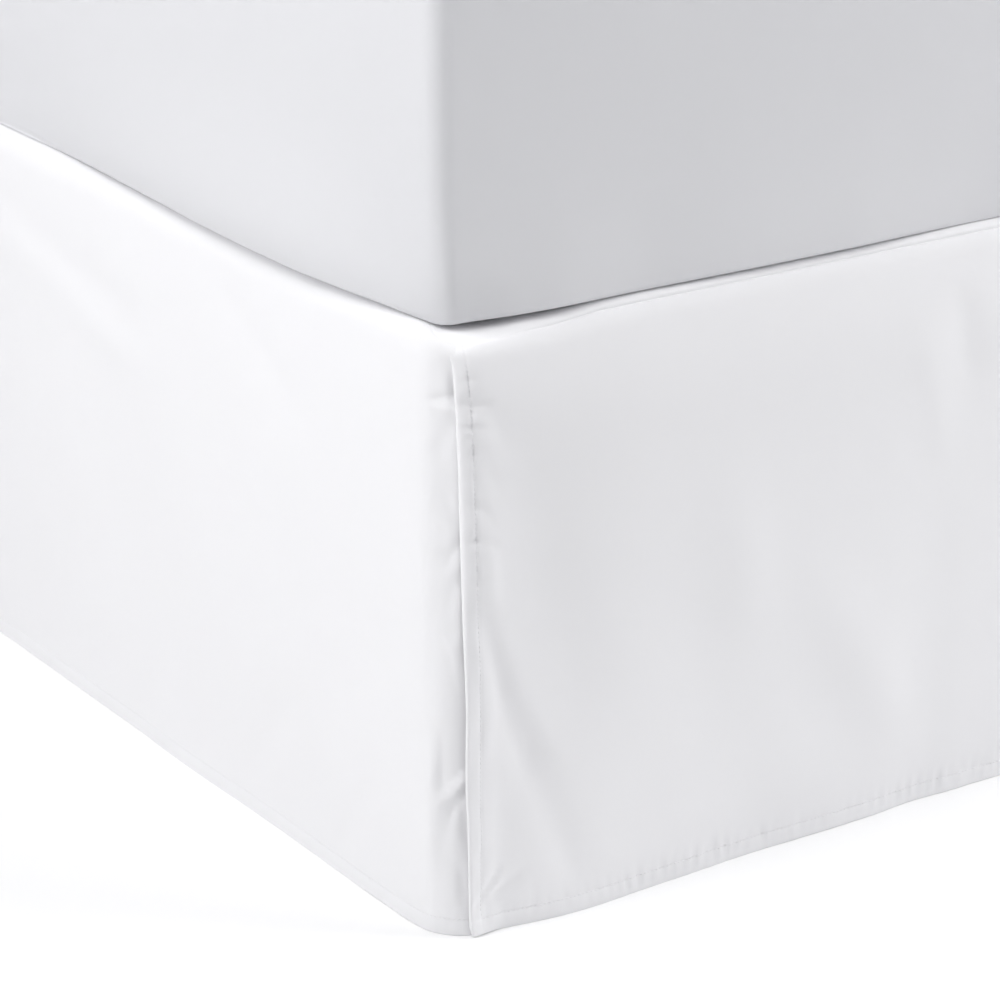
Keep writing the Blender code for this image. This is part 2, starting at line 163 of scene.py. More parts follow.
for name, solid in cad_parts.items():
    if "rail" in name or "leg" in name:
        for slot in range(len(solid.data.materials)):
            solid.data.materials[slot] = enamel

bpy.ops.object.select_all(action="DESELECT")
bpy.ops.mesh.primitive_uv_sphere_add(segments=12, ring_count=6, radius=RIVET_RADIUS, location=(0, 0, 0))
rivet = bpy.context.object
bpy.ops.object.mode_set(mode="EDIT")
bpy.ops.mesh.select_all(action="SELECT")
bpy.ops.mesh.bisect(plane_co=(0, 0, 0), plane_no=(0, 0, 1), clear_outer=True, use_fill=True)
bpy.ops.mesh.select_all(action="SELECT")
bpy.ops.transform.resize(value=(1, 1, 0.5))
bpy.ops.object.mode_set(mode="OBJECT")
rivets = []
for name in ("cross_rail_1", "cross_rail_2", "cross_rail_3"):
    low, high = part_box(name)
    for x in (RIVET_INSET - high.x, high.x - RIVET_INSET):
        for step in (-RIVET_SPACING / 2, RIVET_SPACING / 2):
            head = rivet.copy()
            head.data = rivet.data.copy()
            spot = (x, (low.y + high.y) / 2 + step, high.z - ANGLE_THICKNESS)
            head.data.transform(Matrix.Translation(spot))
            scene.collection.objects.link(head)
            rivets.append(head)
bpy.data.objects.remove(rivet, do_unlink=True)
bpy.ops.object.select_all(action="DESELECT")
for head in rivets:
    head.select_set(True)
bpy.context.view_layer.objects.active = rivets[0]
bpy.ops.object.join()
rail_rivets = bpy.context.object
rail_rivets.name = "rail_rivets"
rail_rivets.data.shade_smooth()
rail_rivets.data.materials.append(enamel)
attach(rail_rivets, "root")

# ---- Foundation ----
# A boxed wooden foundation upholstered in off-white ticking over a thin felt pad. Its cover is stapled
# underneath, and a fine welt runs round it under the top edge and along the bottom.
HALF_WIDTH = 0.7655  # outer face of the drops' cloth, from the bed's middle
FOOT_PLANE_Y = -1.010  # outer face of the foot drop's cloth
# The padding of the left foot corner is pressed down, most of all just inside its rim. Each pair is for ramp.
CORNER_SAG = 0.0035
SAG_FOOT = (0.075, 0.050)  # in from the side, it rises again
SAG_SIDE = 0.060  # and in from the foot it has risen again here
SAG_HEIGHT = (0.325, 0.060)
POCKET = 0.0030
POCKET_FROM_FOOT = (0.003, 0.005)
POCKET_FROM_SIDE = (0.006, 0.014)
POCKET_END = (0.040, 0.030)
POCKET_HEIGHT = (0.395, 0.006)
FOUNDATION_CORNER = 0.0265
FOUNDATION_SHOULDER = 0.0165
FOUNDATION_BOTTOM_EDGE = 0.006
HEAD_CROWN = 0.004
HEAD_CROWN_RISE = 0.07  # the open head end is full this far in from its two edges
STRIPE_REPEAT = 0.024
STRIPE_WIDTH = 0.0022
WELT_RADIUS = 0.0013
WELT_BELOW_TOP = 0.030
WELT_ABOVE_BOTTOM = 0.008
CUTS_X = (0.06 - HALF_WIDTH, 0.16 - HALF_WIDTH, 0.60)  # extra edges, where the cover bends
CUTS_Y = (FOOT_PLANE_Y + 0.06, FOOT_PLANE_Y + 0.12)


def smooth(x):
    """0 below 0, 1 above 1, and a soft S between."""
    x = np.clip(x, 0.0, 1.0)
    return x * x * (3 - 2 * x)


def ramp(x, start, length):
    """0 up to start, 1 from a length further on, and a soft S between."""
    return smooth((x - start) / length)


def settled(points):
    """Points at the top of the left foot corner are let down, because the padding there is pressed."""
    from_side = points[..., 0] + HALF_WIDTH
    from_foot = points[..., 1] - FOOT_PLANE_Y
    near_foot = 1 - smooth(from_foot / SAG_SIDE)
    share = (1 - ramp(from_side, *SAG_FOOT)) * near_foot
    inside = ramp(from_foot, *POCKET_FROM_FOOT) * ramp(from_side, *POCKET_FROM_SIDE)
    pocket = POCKET * inside * (1 - ramp(from_side, *POCKET_END)) * near_foot
    lowered = points.copy()
    lowered[..., 2] -= CORNER_SAG * share * ramp(points[..., 2], *SAG_HEIGHT)
    lowered[..., 2] -= pocket * ramp(points[..., 2], *POCKET_HEIGHT)
    return lowered


def move_points(mesh, change):
    """Put each point of a mesh where change(points) says."""
    points = np.empty(len(mesh.vertices) * 3)
    mesh.vertices.foreach_get("co", points)
    mesh.vertices.foreach_set("co", change(points.reshape(-1, 3)).ravel())
    mesh.update()


def pick_edges(mesh, chosen):
    """In edit mode, select the edges whose ends pass chosen(a, b)."""
    editing = bmesh.from_edit_mesh(mesh)
    editing.select_mode = {"EDGE"}
    for edge in editing.edges:
        edge.select_set(chosen(edge.verts[0].co, edge.verts[1].co))
    editing.select_flush_mode()
    bmesh.update_edit_mesh(mesh)


low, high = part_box("foundation")
bpy.ops.object.select_all(action="DESELECT")
bpy.ops.mesh.primitive_cube_add(size=1, location=(low + high) / 2)
foundation = bpy.context.object
foundation.name = "foundation_cover"
foundation.scale = high - low
bpy.ops.object.transform_apply(location=True, rotation=True, scale=True)
bpy.ops.object.mode_set(mode="EDIT")
bpy.ops.mesh.select_mode(type="EDGE")
pick_edges(foundation.data, lambda a, b: abs(a.z - b.z) > 0.1)
bpy.ops.mesh.bevel(offset=FOUNDATION_CORNER, segments=7, affect="EDGES")
pick_edges(foundation.data, lambda a, b: min(a.z, b.z) > high.z - 1e-5)
bpy.ops.mesh.bevel(offset=FOUNDATION_SHOULDER, segments=6, affect="EDGES")
pick_edges(foundation.data, lambda a, b: max(a.z, b.z) < low.z + 1e-5)
bpy.ops.mesh.bevel(offset=FOUNDATION_BOTTOM_EDGE, segments=3, affect="EDGES")
welt_heights = (high.z - WELT_BELOW_TOP, low.z + WELT_ABOVE_BOTTOM)
cuts = [((x, 0, 0), (1, 0, 0)) for x in CUTS_X] + [((0, y, 0), (0, 1, 0)) for y in CUTS_Y]
for z in (welt_heights[0], high.z - 0.060, (low.z + high.z) / 2, low.z + 0.050, welt_heights[1]):
    cuts.append(((0, 0, z), (0, 0, 1)))
for at, facing in cuts:
    bpy.ops.mesh.select_all(action="SELECT")
    bpy.ops.mesh.bisect(plane_co=at, plane_no=facing)
bpy.ops.object.mode_set(mode="OBJECT")


def crowned_head(points):
    """The open head end of the foundation swells a little between its edges."""
    at_head = points[:, 1] > high.y - 1e-4
    rise = smooth((points[:, 2] - welt_heights[1]) / HEAD_CROWN_RISE)
    rise *= smooth((welt_heights[0] - points[:, 2]) / HEAD_CROWN_RISE)
    crowned = points.copy()
    crowned[:, 1] += at_head * HEAD_CROWN * rise
    return crowned


# The padding is let down twice and the cloth once, so that they keep clear of each other.
move_points(foundation.data, settled)
move_points(foundation.data, settled)
move_points(foundation.data, crowned_head)


def welt(name, height):
    """A cord sewn round the cover at a height: a copy of the cover's edges there, given a round section."""
    bpy.ops.object.select_all(action="DESELECT")
    cover = foundation.copy()
    cover.data = foundation.data.copy()
    scene.collection.objects.link(cover)
    bpy.context.view_layer.objects.active = cover
    cover.select_set(True)
    bpy.ops.object.mode_set(mode="EDIT")
    pick_edges(cover.data, lambda a, b: max(abs(a.z - height), abs(b.z - height)) > 1e-4)
    bpy.ops.mesh.delete(type="EDGE")
    bpy.ops.object.mode_set(mode="OBJECT")
    bpy.ops.object.convert(target="CURVE")
    cover = bpy.context.object
    cover.data.bevel_depth = WELT_RADIUS
    cover.data.bevel_resolution = 2
    bpy.ops.object.convert(target="MESH")
    cover = bpy.context.object
    cover.name = name
    cover.data.shade_smooth()
    return cover


welts = [welt("foundation_welt_top", welt_heights[0]), welt("foundation_welt_bottom", welt_heights[1])]
bpy.ops.object.select_all(action="DESELECT")
bpy.context.view_layer.objects.active = foundation
foundation.select_set(True)
bpy.ops.object.shade_smooth_by_angle(angle=math.radians(40))

ticking, tree, shader = new_finish("ticking", Roughness=0.92, Specular_IOR_Level=0.2)
place = node(tree, "TexCoord")["Object"]
parts = node(tree, "SeparateXYZ", {0: place})
across = node(tree, "Math", {0: parts["X"], 1: parts["Y"]}, operation="ADD")[0]
stripe = node(tree, "Math", {0: across, 1: STRIPE_REPEAT}, operation="MODULO")[0]
stripe = node(tree, "Math", {0: stripe}, operation="ABSOLUTE")[0]
stripe = node(tree, "Math", {0: stripe, 1: STRIPE_WIDTH}, operation="LESS_THAN")[0]
soil = node(tree, "TexNoise", {"Vector": place, "Scale": 9.0, "Detail": 5.0})["Fac"]
ground = two_tone(tree, soil, (0.66, 0.64, 0.59), (0.74, 0.72, 0.68))
stripe = node(tree, "Math", {0: stripe, 1: 0.55}, operation="MULTIPLY")[0]
cloth = node(tree, "Mix", {0: stripe, 6: ground, 7: (0.42, 0.44, 0.48, 1)}, data_type="RGBA")[2]
tree.links.new(cloth, shader.inputs["Base Color"])
twill = node(tree, "Mapping", {"Vector": place, "Rotation": (0.6, 0.5, math.radians(35))})[0]
twill = node(tree, "TexWave", {"Vector": twill, "Scale": 420.0, "Distortion": 0.6})["Fac"]
rib = node(tree, "Bump", {"Strength": 0.3, "Distance": 0.0004, "Height": twill})[0]
tree.links.new(rib, shader.inputs["Normal"])
for piece in (foundation, *welts):
    piece.data.materials.clear()
    piece.data.materials.append(ticking)
    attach(piece, "root")
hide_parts("foundation")

# ---- Deck ----
# The part of the skirt that lies between the foundation and the mattress: one sheet of plain white cotton. Its
# rim rolls over the foundation's edge and is sewn to the drops halfway down the shoulder.
SKIRT_DROP = 0.406  # the deck's top above the floor
SHOULDER_RADIUS = 0.015
SHOULDER_FOOT = SKIRT_DROP - SHOULDER_RADIUS
CORNER_RADIUS = 0.030  # of the drops' outer face, seen from above
HALF_FOOT_RUN = HALF_WIDTH - CORNER_RADIUS
SIDE_START = HALF_FOOT_RUN + CORNER_RADIUS * math.pi / 2
HEAD_Y = 1.0255  # the side drops end here
PATH_END = SIDE_START + HEAD_Y - FOOT_PLANE_Y - CORNER_RADIUS
SEAM_UP = 0.0131  # along the foot the seam with the drops is this far up the shoulder
SIDE_SEAM_UP = 0.0260  # and along the sides it lies in under the mattress
SEWN_FROM = HALF_FOOT_RUN + 0.0217  # the side drops are sewn to the deck from here to the head
SEAM_SHIFT = 0.046  # round the corner the seam moves from the one height to the other in this length
SEAM_DEPTH = 0.0011
SEAM_WIDTH = 0.0008
SEAM_HIDDEN = 0.9  # round the corners the seam is less deep by this share
SEAM_HIDES = (HALF_FOOT_RUN - 0.085, 0.060)
SEAM_TUCK = 0.0014  # the deck's edge lies this deep, inside the drops
TUCK_LENGTH = 0.0010
DECK_CLOTH = 0.0009
DECK_RING = 0.028  # the rim's inner ring, in from the outer face
DECK_ROWS = (0.0080, 0.0055, 0.0036, 0.0022, 0.0013, 0.0007, 0.0003, 0.0, -0.0005, -0.0010, -0.0018)


def skirt_path(along):
    """The cloth's outer face under the shoulder, and which way is out. 0 is the middle of the foot."""
    side, far = np.sign(along), np.abs(along)
    turn = np.clip((far - HALF_FOOT_RUN) / CORNER_RADIUS, 0, math.pi / 2)
    x = np.minimum(far, HALF_FOOT_RUN) + CORNER_RADIUS * np.sin(turn)
    y = FOOT_PLANE_Y + CORNER_RADIUS * (1 - np.cos(turn)) + np.maximum(far - SIDE_START, 0)
    return x * side, y, side * np.sin(turn), -np.cos(turn)


def steps(*stops):
    """Places from the first stop on: steps(start, spacing, next, spacing, next, ..., end)."""
    places = []
    for start, spacing, end in zip(stops[::2], stops[1::2], stops[2::2]):
        count = max(1, round(abs(end - start) / spacing))
        places.extend(np.linspace(start, end, count, endpoint=False))
    return np.array(places + [stops[-1]])


def seam_up(along):
    return SEAM_UP + (SIDE_SEAM_UP - SEAM_UP) * ramp(np.abs(along), SEWN_FROM, SEAM_SHIFT)


def over_shoulder(up):
    """Inset, rise and turn of the cloth this far up over the shoulder, and on over the flat top."""
    turn = np.clip(up / SHOULDER_RADIUS, 0, math.pi / 2)
    flat = np.maximum(up - SHOULDER_RADIUS * math.pi / 2, 0)
    return SHOULDER_RADIUS * (1 - np.cos(turn)) + flat, SHOULDER_RADIUS * np.sin(turn), turn


def facing_out(face):
    """Which way is out at each point of a grid whose rows go along and whose columns go down."""
    out = np.cross(np.gradient(face, axis=1), np.gradient(face, axis=0))
    return out / np.linalg.norm(out, axis=2, keepdims=True)


def new_piece(name, points, faces):
    """A smooth mesh object in the scene."""
    mesh = bpy.data.meshes.new(name)
    mesh.from_pydata(points, [], faces)
    mesh.shade_smooth()
    made = bpy.data.objects.new(name, mesh)
    scene.collection.objects.link(made)
    return made


def cloth_panel(name, face, thick, cut, to_edge, keeps=None, filled=False):
    """A sheet of cloth with an outer and an inner skin, from a grid of points on its outer face.

    thick is its thickness, cut its place on the flat cloth and to_edge how far each point is from a folded
    edge, which is round. keeps says which squares are cloth. filled closes the sheet inside its first column.
    """
    rows, columns = thick.shape
    out = facing_out(face)
    half = thick / 2
    roll = half - np.sqrt(half**2 - np.clip(half - to_edge, 0, 0.9 * half) ** 2)
    skins = np.concatenate([face - out * roll[..., None], face - out * (thick - roll)[..., None]])
    front = np.arange(rows * columns).reshape(rows, columns)
    back = front + rows * columns
    if keeps is None:
        keeps = np.ones((rows - 1, columns - 1), bool)
    i, j = np.nonzero(keeps)
    quads = [
        np.stack([front[i, j], front[i, j + 1], front[i + 1, j + 1], front[i + 1, j]], 1),
        np.stack([back[i, j], back[i + 1, j], back[i + 1, j + 1], back[i, j + 1]], 1),
    ]
    around = np.pad(keeps, 1)
    if filled:
        around[:, 0] = True
    sides = (  # which way a neighbour lies, and the two corners of the side towards it
        ((-1, 0), (0, 0), (0, 1)),
        ((0, 1), (0, 1), (1, 1)),
        ((1, 0), (1, 1), (1, 0)),
        ((0, -1), (1, 0), (0, 0)),
    )
    for (di, dj), first, second in sides:
        open_side = keeps & ~around[1 + di : rows + di, 1 + dj : columns + dj]
        i, j = np.nonzero(open_side)
        a, b = (i + first[0], j + first[1]), (i + second[0], j + second[1])
        quads.append(np.stack([front[b], front[a], back[a], back[b]], 1))
    faces = np.concatenate(quads).tolist()
    if filled:
        faces.append(front[:, 0].tolist())
        faces.append(back[::-1, 0].tolist())
        faces.append([int(front[0, 0]), int(front[-1, 0]), int(back[-1, 0]), int(back[0, 0])])
    used, order = np.unique(np.concatenate([np.array(f) for f in faces]), return_inverse=True)
    ends = np.cumsum([len(f) for f in faces])
    faces = [order[end - len(f) : end].tolist() for f, end in zip(faces, ends)]
    made = new_piece(name, skins.reshape(-1, 3)[used], faces)
    weave = made.data.uv_layers.new(name="weave")
    flat = np.concatenate([cut, cut]).reshape(-1, 2)[used]
    weave.data.foreach_set("uv", flat[order].astype(np.float32).ravel())
    return made


def seam_dip(from_seam, along):
    """Both sheets turn in where they are sewn together, hardly at all round the corners."""
    depth = SEAM_DEPTH * (1 - SEAM_HIDDEN * ramp(np.abs(along), *SEAM_HIDES))
    return -depth * np.exp(-((from_seam / SEAM_WIDTH) ** 2)) - SEAM_TUCK * smooth(-from_seam / TUCK_LENGTH)


right_half = steps(
    0.0, 0.05, HALF_FOOT_RUN - 0.20, 0.012, HALF_FOOT_RUN, 0.0035, SIDE_START,
    0.012, SIDE_START + 0.1, 0.06, PATH_END,
)
stations = np.concatenate([-right_half[:0:-1], right_half])
from_seam = np.array(DECK_ROWS)
x, y, out_x, out_y = (v[:, None] for v in skirt_path(stations))
seam = seam_up(stations)[:, None]
ring_up = SHOULDER_RADIUS * (math.pi / 2 - 1) + DECK_RING
inset, rise, turn = over_shoulder(np.concatenate([(seam + from_seam[0] + ring_up) / 2, seam + from_seam], 1))
dip = seam_dip(np.append([SHOULDER_RADIUS], from_seam), stations[:, None])
out = dip * np.cos(turn) - inset
face = np.stack([x + out_x * out, y + out_y * out, SHOULDER_FOOT + rise + dip * np.sin(turn)], 2)
ring = np.stack([x - out_x * DECK_RING, y - out_y * DECK_RING, np.full(x.shape, SKIRT_DROP)], 2)
face = settled(np.concatenate([ring, face], 1))
thick = np.full(face.shape[:2], DECK_CLOTH)
deck = cloth_panel("deck_sheet", face, thick, face[..., :2], np.full(thick.shape, 1.0), filled=True)


def woven(tree, pitch, strength, crumple):
    """A plain weave, its threads at a pitch on the flat cloth, with the soft unevenness of cotton."""
    cut = node(tree, "UVMap", uv_map="weave")["UV"]
    place = node(tree, "TexCoord")["Object"]
    waves = {"Vector": cut, "Scale": 2 * math.pi / (20 * pitch), "Distortion": 0.4, "Detail Scale": 0.3}
    warp = node(tree, "TexWave", waves)["Fac"]
    weft = node(tree, "TexWave", waves, bands_direction="Y")["Fac"]
    threads = node(tree, "Math", {0: warp, 1: weft}, operation="ADD")[0]
    slub = node(tree, "TexNoise", {"Vector": cut, "Scale": 900.0, "Detail": 2.0})["Fac"]
    broad = node(tree, "TexNoise", {"Vector": place, "Scale": 24.0, "Detail": 3.0, "Roughness": 0.55})["Fac"]
    soft = node(tree, "Bump", {"Strength": 1.0, "Distance": crumple, "Height": broad})[0]
    rough = node(tree, "Bump", {"Strength": strength, "Distance": 0.00006, "Height": slub, "Normal": soft})[0]
    relief = {"Strength": strength, "Distance": 0.00005, "Height": threads, "Normal": rough}
    return node(tree, "Bump", relief)[0]


def clouded(tree, scale, first, second):
    """A colour that varies softly over the piece between two."""
    place = node(tree, "TexCoord")["Object"]
    cloud = node(tree, "TexNoise", {"Vector": place, "Scale": scale, "Detail": 3.0})["Fac"]
    return two_tone(tree, cloud, first, second)


deck_cotton, tree, shader = new_finish(
    "deck_cotton", Roughness=0.92, Specular_IOR_Level=0.25, Sheen_Weight=0.05
)
tree.links.new(woven(tree, 0.0005, 0.35, 0.0006), shader.inputs["Normal"])
white = clouded(tree, 14.0, (0.868, 0.866, 0.880), (0.888, 0.886, 0.900))
tree.links.new(white, shader.inputs["Base Color"])
deck.data.materials.append(deck_cotton)
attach(deck, "root")
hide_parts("deck")

# ---- Side drops ----
# The two long drops, of white cotton percale with a double hem sewn 11 mm up. Each wraps its foot corner and
# carries on behind the foot drop, and ends in a hem at the head. The left one buckles a little where it wraps.
COTTON = 0.0011  # thickness
HEM_COTTON = 0.0016
HEM_WIDTH = 0.0114
END_HEM_WIDTH = 0.0088
HEM_PRESSED = 0.0005  # the bottom hem is ironed, so that its edge is this much sharper
HEM_RISE = 0.00035  # the hem's layers stand this proud
HEM_HEIGHT = 0.0002  # the hem above the floor
SEAM_HEIGHT = 0.4025  # the foot's seam above the floor
EASE_HEIGHT = 0.075  # and this far below it the cloth hangs straight
RETURN_LENGTH = 0.070
RETURN_IN = 0.0010  # behind the foot drop the cloth is pressed in this far
RETURN_HEM_IN = 0.0060  # and this much more at the hem, below the foundation
SIDE_EASE = 0.0020  # how far a side drop eases out under the shoulder
SEAM_ROWS = (-1.0, -0.985, -0.955, -0.905, -0.84, -0.72, -0.55, -0.36, -0.17)  # as down in on_drop
HEM_ROWS = (  # up from the hem
    0.0420, 0.0382, 0.0345, 0.0310, 0.0276, 0.0244, 0.0214, 0.0186, 0.0160, 0.0138, 0.0124, 0.0117, HEM_WIDTH,
    0.0108, 0.0099, 0.0080, 0.0058, 0.0036, 0.0018, 0.0009, 0.0004, 0.0,
)
THREAD_PITCH = 0.0032
THREAD_RADIUS = 0.00022
STITCH = ((-0.0012, -0.5, 0), (-0.0008, 0.4, 1), (0, 0.9, 1.15), (0.0008, 0.4, 1), (0.0012, -0.5, 0))
HEAD_STITCHES = 12  # the row where the stitches of the head hem start
HEAD_COLUMNS = (  # in from the head
    0.030, 0.022, 0.0160, 0.0132, 0.0120, HEM_WIDTH, 0.0108, 0.0096, 0.0070, 0.0040, 0.0018, 0.0009, 0.0004,
    0.0,
)
FLOOR_HOLD = (0.2, 0.12)  # at the floor the folds are held to this share, and are free this far up
INNERMOST = (-0.0016, -0.0040)  # no fold goes in further than this, nor this much more below the foundation
BELOW_FOUNDATION = 0.17

# A fold is a soft ridge (out > 0) or trough (out < 0) along a straight line. Its ends are given by their
# height z and their distance "at" from the square corner where the drops' planes meet.
Fold = namedtuple("Fold", "upper_at upper_z lower_at lower_z width out")
Sway = namedtuple("Sway", "length phase out")
LEFT_FOLDS = (
    Fold(0.560, 0.350, 0.410, 0.318, 0.016, -0.0014),
    Fold(0.560, 0.325, 0.400, 0.285, 0.018, 0.0013),
    Fold(0.262, 0.372, 0.180, 0.318, 0.016, -0.0014),
    Fold(0.208, 0.078, 0.245, 0.022, 0.012, -0.0030),
    Fold(0.090, 0.075, 0.122, 0.026, 0.010, -0.0030),
    Fold(0.430, 0.220, 0.330, 0.000, 0.055, -0.0026),
    Fold(0.760, 0.340, 0.690, 0.000, 0.060, 0.0046),
    Fold(0.980, 0.300, 0.930, 0.020, 0.055, -0.0040),
    Fold(1.190, 0.350, 1.230, 0.000, 0.060, 0.0046),
    Fold(1.420, 0.320, 1.390, 0.000, 0.055, -0.0040),
    Fold(1.640, 0.330, 1.700, 0.000, 0.060, 0.0046),
    Fold(1.880, 0.300, 1.850, 0.000, 0.050, -0.0034),
)
LEFT_SWAYS = (Sway(0.61, 2.1, 0.0014), Sway(0.37, 0.4, 0.0010))
LEFT_CREASES = (
    Fold(0.0000, 0.380, -0.0010, 0.235, 0.0085, 0.0016),
    Fold(-0.0010, 0.205, -0.0020, 0.170, 0.0085, 0.0022),
    Fold(0.0185, 0.125, 0.0215, 0.065, 0.0080, 0.0014),
    Fold(0.0026, 0.3830, 0.0020, 0.3680, 0.0025, -0.0022),
    Fold(0.0135, 0.3660, 0.0060, 0.3690, 0.0026, -0.0011),
    Fold(0.0150, 0.3600, 0.0060, 0.3600, 0.0035, 0.0006),
    Fold(0.0100, 0.3360, 0.0040, 0.3480, 0.0045, -0.0006),
    Fold(0.0080, 0.3230, 0.0030, 0.3120, 0.0050, -0.0005),
    Fold(0.0060, 0.2980, 0.0010, 0.2860, 0.0045, -0.0009),
    Fold(0.0085, 0.2590, 0.0000, 0.2690, 0.0044, -0.0013),
    Fold(0.0080, 0.2310, 0.0010, 0.2440, 0.0044, -0.0009),
    Fold(0.0110, 0.2140, 0.0040, 0.2110, 0.0028, -0.0010),
    Fold(0.0070, 0.2040, 0.0020, 0.2010, 0.0030, 0.0008),
    Fold(-0.0020, 0.1980, -0.0018, 0.1680, 0.0034, -0.0006),
    Fold(0.0095, 0.1850, 0.0040, 0.1650, 0.0060, -0.0011),
    Fold(-0.0010, 0.1550, 0.0090, 0.1120, 0.0068, -0.0026),
    Fold(-0.0025, 0.1400, -0.0025, 0.1220, 0.0035, -0.0010),
    Fold(-0.0040, 0.1090, 0.0130, 0.0950, 0.0026, 0.0018),
    Fold(-0.0040, 0.1010, 0.0050, 0.0885, 0.0024, -0.0012),
    Fold(-0.0030, 0.0850, -0.0040, 0.0720, 0.0036, -0.0010),
    Fold(0.0060, 0.0870, 0.0110, 0.0740, 0.0060, -0.0007),
    Fold(0.0130, 0.0560, 0.0050, 0.0510, 0.0060, -0.0008),
    Fold(-0.0016, 0.0420, -0.0036, 0.0250, 0.0038, -0.0010),
    Fold(0.0020, 0.0205, 0.0090, 0.0215, 0.0016, -0.0005),
)
RIGHT_FOLDS = (
    Fold(0.180, 0.320, 0.110, 0.000, 0.040, 0.0030),
    Fold(0.360, 0.350, 0.290, 0.060, 0.045, -0.0030),
    Fold(0.540, 0.300, 0.560, 0.000, 0.055, 0.0044),
    Fold(0.790, 0.340, 0.730, 0.000, 0.055, -0.0040),
    Fold(1.010, 0.280, 1.040, 0.000, 0.060, 0.0046),
    Fold(1.270, 0.350, 1.220, 0.040, 0.050, -0.0036),
    Fold(1.500, 0.310, 1.460, 0.000, 0.060, 0.0044),
    Fold(1.760, 0.340, 1.800, 0.000, 0.055, -0.0040),
    Fold(1.930, 0.260, 1.900, 0.000, 0.040, 0.0030),
)
RIGHT_SWAYS = (Sway(0.57, 0.7, 0.0018), Sway(0.34, 3.0, 0.0012))
RIGHT_CREASES = (
    Fold(0.0060, 0.3820, 0.0020, 0.3640, 0.0050, -0.0016),
    Fold(0.0200, 0.3100, 0.0010, 0.2960, 0.0060, -0.0007),
    Fold(-0.0020, 0.2200, 0.0120, 0.1720, 0.0060, -0.0014),
    Fold(-0.0040, 0.1300, 0.0080, 0.1060, 0.0045, -0.0016),
    Fold(-0.0030, 0.0600, -0.0010, 0.0300, 0.0050, -0.0012),
)
HEM_SWAYS = (Sway(0.43, 1.1, 0.00012), Sway(0.171, 0.3, 0.00006))
LEFT_HEM = (
    (-0.05, -0.0015), (-0.01, -0.0042), (0.005, -0.0048), (0.018, -0.0046), (0.031, -0.0014), (0.046, -0.0005),
    (0.10, 0.0), (0.20, -0.0003), (0.25, 0.0006), (0.30, 0.0018), (0.336, 0.0022), (0.36, 0.0018), (0.40, 0.0),
    (0.60, -0.0003), (0.90, 0.0030), (1.5, 0.0030), (2.1, 0.0030),
)
RIGHT_HEM = ((-0.05, 0.0), (0.0, 0.0), (0.20, 0.0030), (2.1, 0.0030))


def folded(at, z, folds):
    """How far the folds push each point out. A fold has a round section, and dies away past its ends."""
    total = np.zeros(np.broadcast(at, z).shape)
    for fold in folds:
        run = np.array((fold.lower_at - fold.upper_at, fold.lower_z - fold.upper_z))
        length = math.hypot(*run)
        along = ((at - fold.upper_at) * run[0] + (z - fold.upper_z) * run[1]) / length
        away = ((at - fold.upper_at) * run[1] - (z - fold.upper_z) * run[0]) / length
        past = np.maximum(0, np.maximum(-along, along - length))
        total += fold.out * np.exp(-((away / fold.width) ** 2) - (past / (2 * fold.width)) ** 2)
    return total


def swayed(at, sways):
    return sum(s.out * np.sin(2 * math.pi * at / s.length + s.phase) for s in sways)


def hung(z):
    """0 at the shoulder's foot and above it, 1 at the floor."""
    return np.maximum(0, 1 - z / SHOULDER_FOOT)


def loose_folds(at, z, folds, sways):
    """The broad folds of a drop. They start below the shoulder, and the floor holds them at the hem."""
    held = (FLOOR_HOLD[0] + (1 - FLOOR_HOLD[0]) * smooth(z / FLOOR_HOLD[1])) * smooth(hung(z) / 0.12)
    return (swayed(at, sways) * hung(z) + folded(at, z, folds)) * held


def small_creases(at, z, creases):
    return folded(at, z, creases) * smooth(hung(z) / 0.03)


def on_drop(along, down, out_of_path):
    """Points of a drop's outer face. down is -1 at the seam, 0 at the shoulder's foot and 1 at the hem."""
    x, y, out_x, out_y = skirt_path(along)
    inset, rise, turn = over_shoulder(np.maximum(0, -down) * seam_up(along))
    hem_z = HEM_HEIGHT + swayed(along, HEM_SWAYS)
    z = SHOULDER_FOOT + np.where(down < 0, rise, down * (hem_z - SHOULDER_FOOT))
    push = out_of_path(along, z) + seam_dip((1 + down) * seam_up(along), along) * (down < 0)
    out = push * np.cos(turn) - inset
    return settled(np.stack([x + out_x * out, y + out_y * out, z + push * np.sin(turn)], 2))


def easing(z, spread):
    """Below the foot's seam the cloth eases out from the shoulder until it hangs straight."""
    below = np.clip((SEAM_HEIGHT - z) / EASE_HEIGHT, 0, 1)
    return spread * (1 - (1 - below) ** 2)


def hem_reach(at, table):
    """The hem's distance out from the path, from a table of (at, out), with the bends softened."""
    places, reach = np.transpose(table)
    return sum(np.interp(at + shift, places, reach) for shift in (-0.010, -0.005, 0, 0.005, 0.010)) / 5


def drop_rows():
    """down for each row: close together at the seam and at the hem, where the sewing is."""
    hang = SHOULDER_FOOT - HEM_HEIGHT
    body = steps(SHOULDER_FOOT, 0.0022, 0.335, 0.0032, 0.230, 0.0040, 0.0465)
    return np.concatenate([SEAM_ROWS, (SHOULDER_FOOT - body) / hang, 1 - np.array(HEM_ROWS) / hang])


def hem_relief(to_edge, groove=0.00015, width=HEM_WIDTH):
    """A double hem stands proud of the cloth up to its line of stitches, which pulls a fine groove."""
    band = HEM_RISE * (1 - ramp(to_edge - width, -0.0004, 0.0012))
    return band - groove * np.exp(-(((to_edge - width) / 0.0009) ** 2))


def hem_thickness(from_stitches):
    return COTTON + (HEM_COTTON - COTTON) * (1 - ramp(from_stitches, -0.001, 0.002))


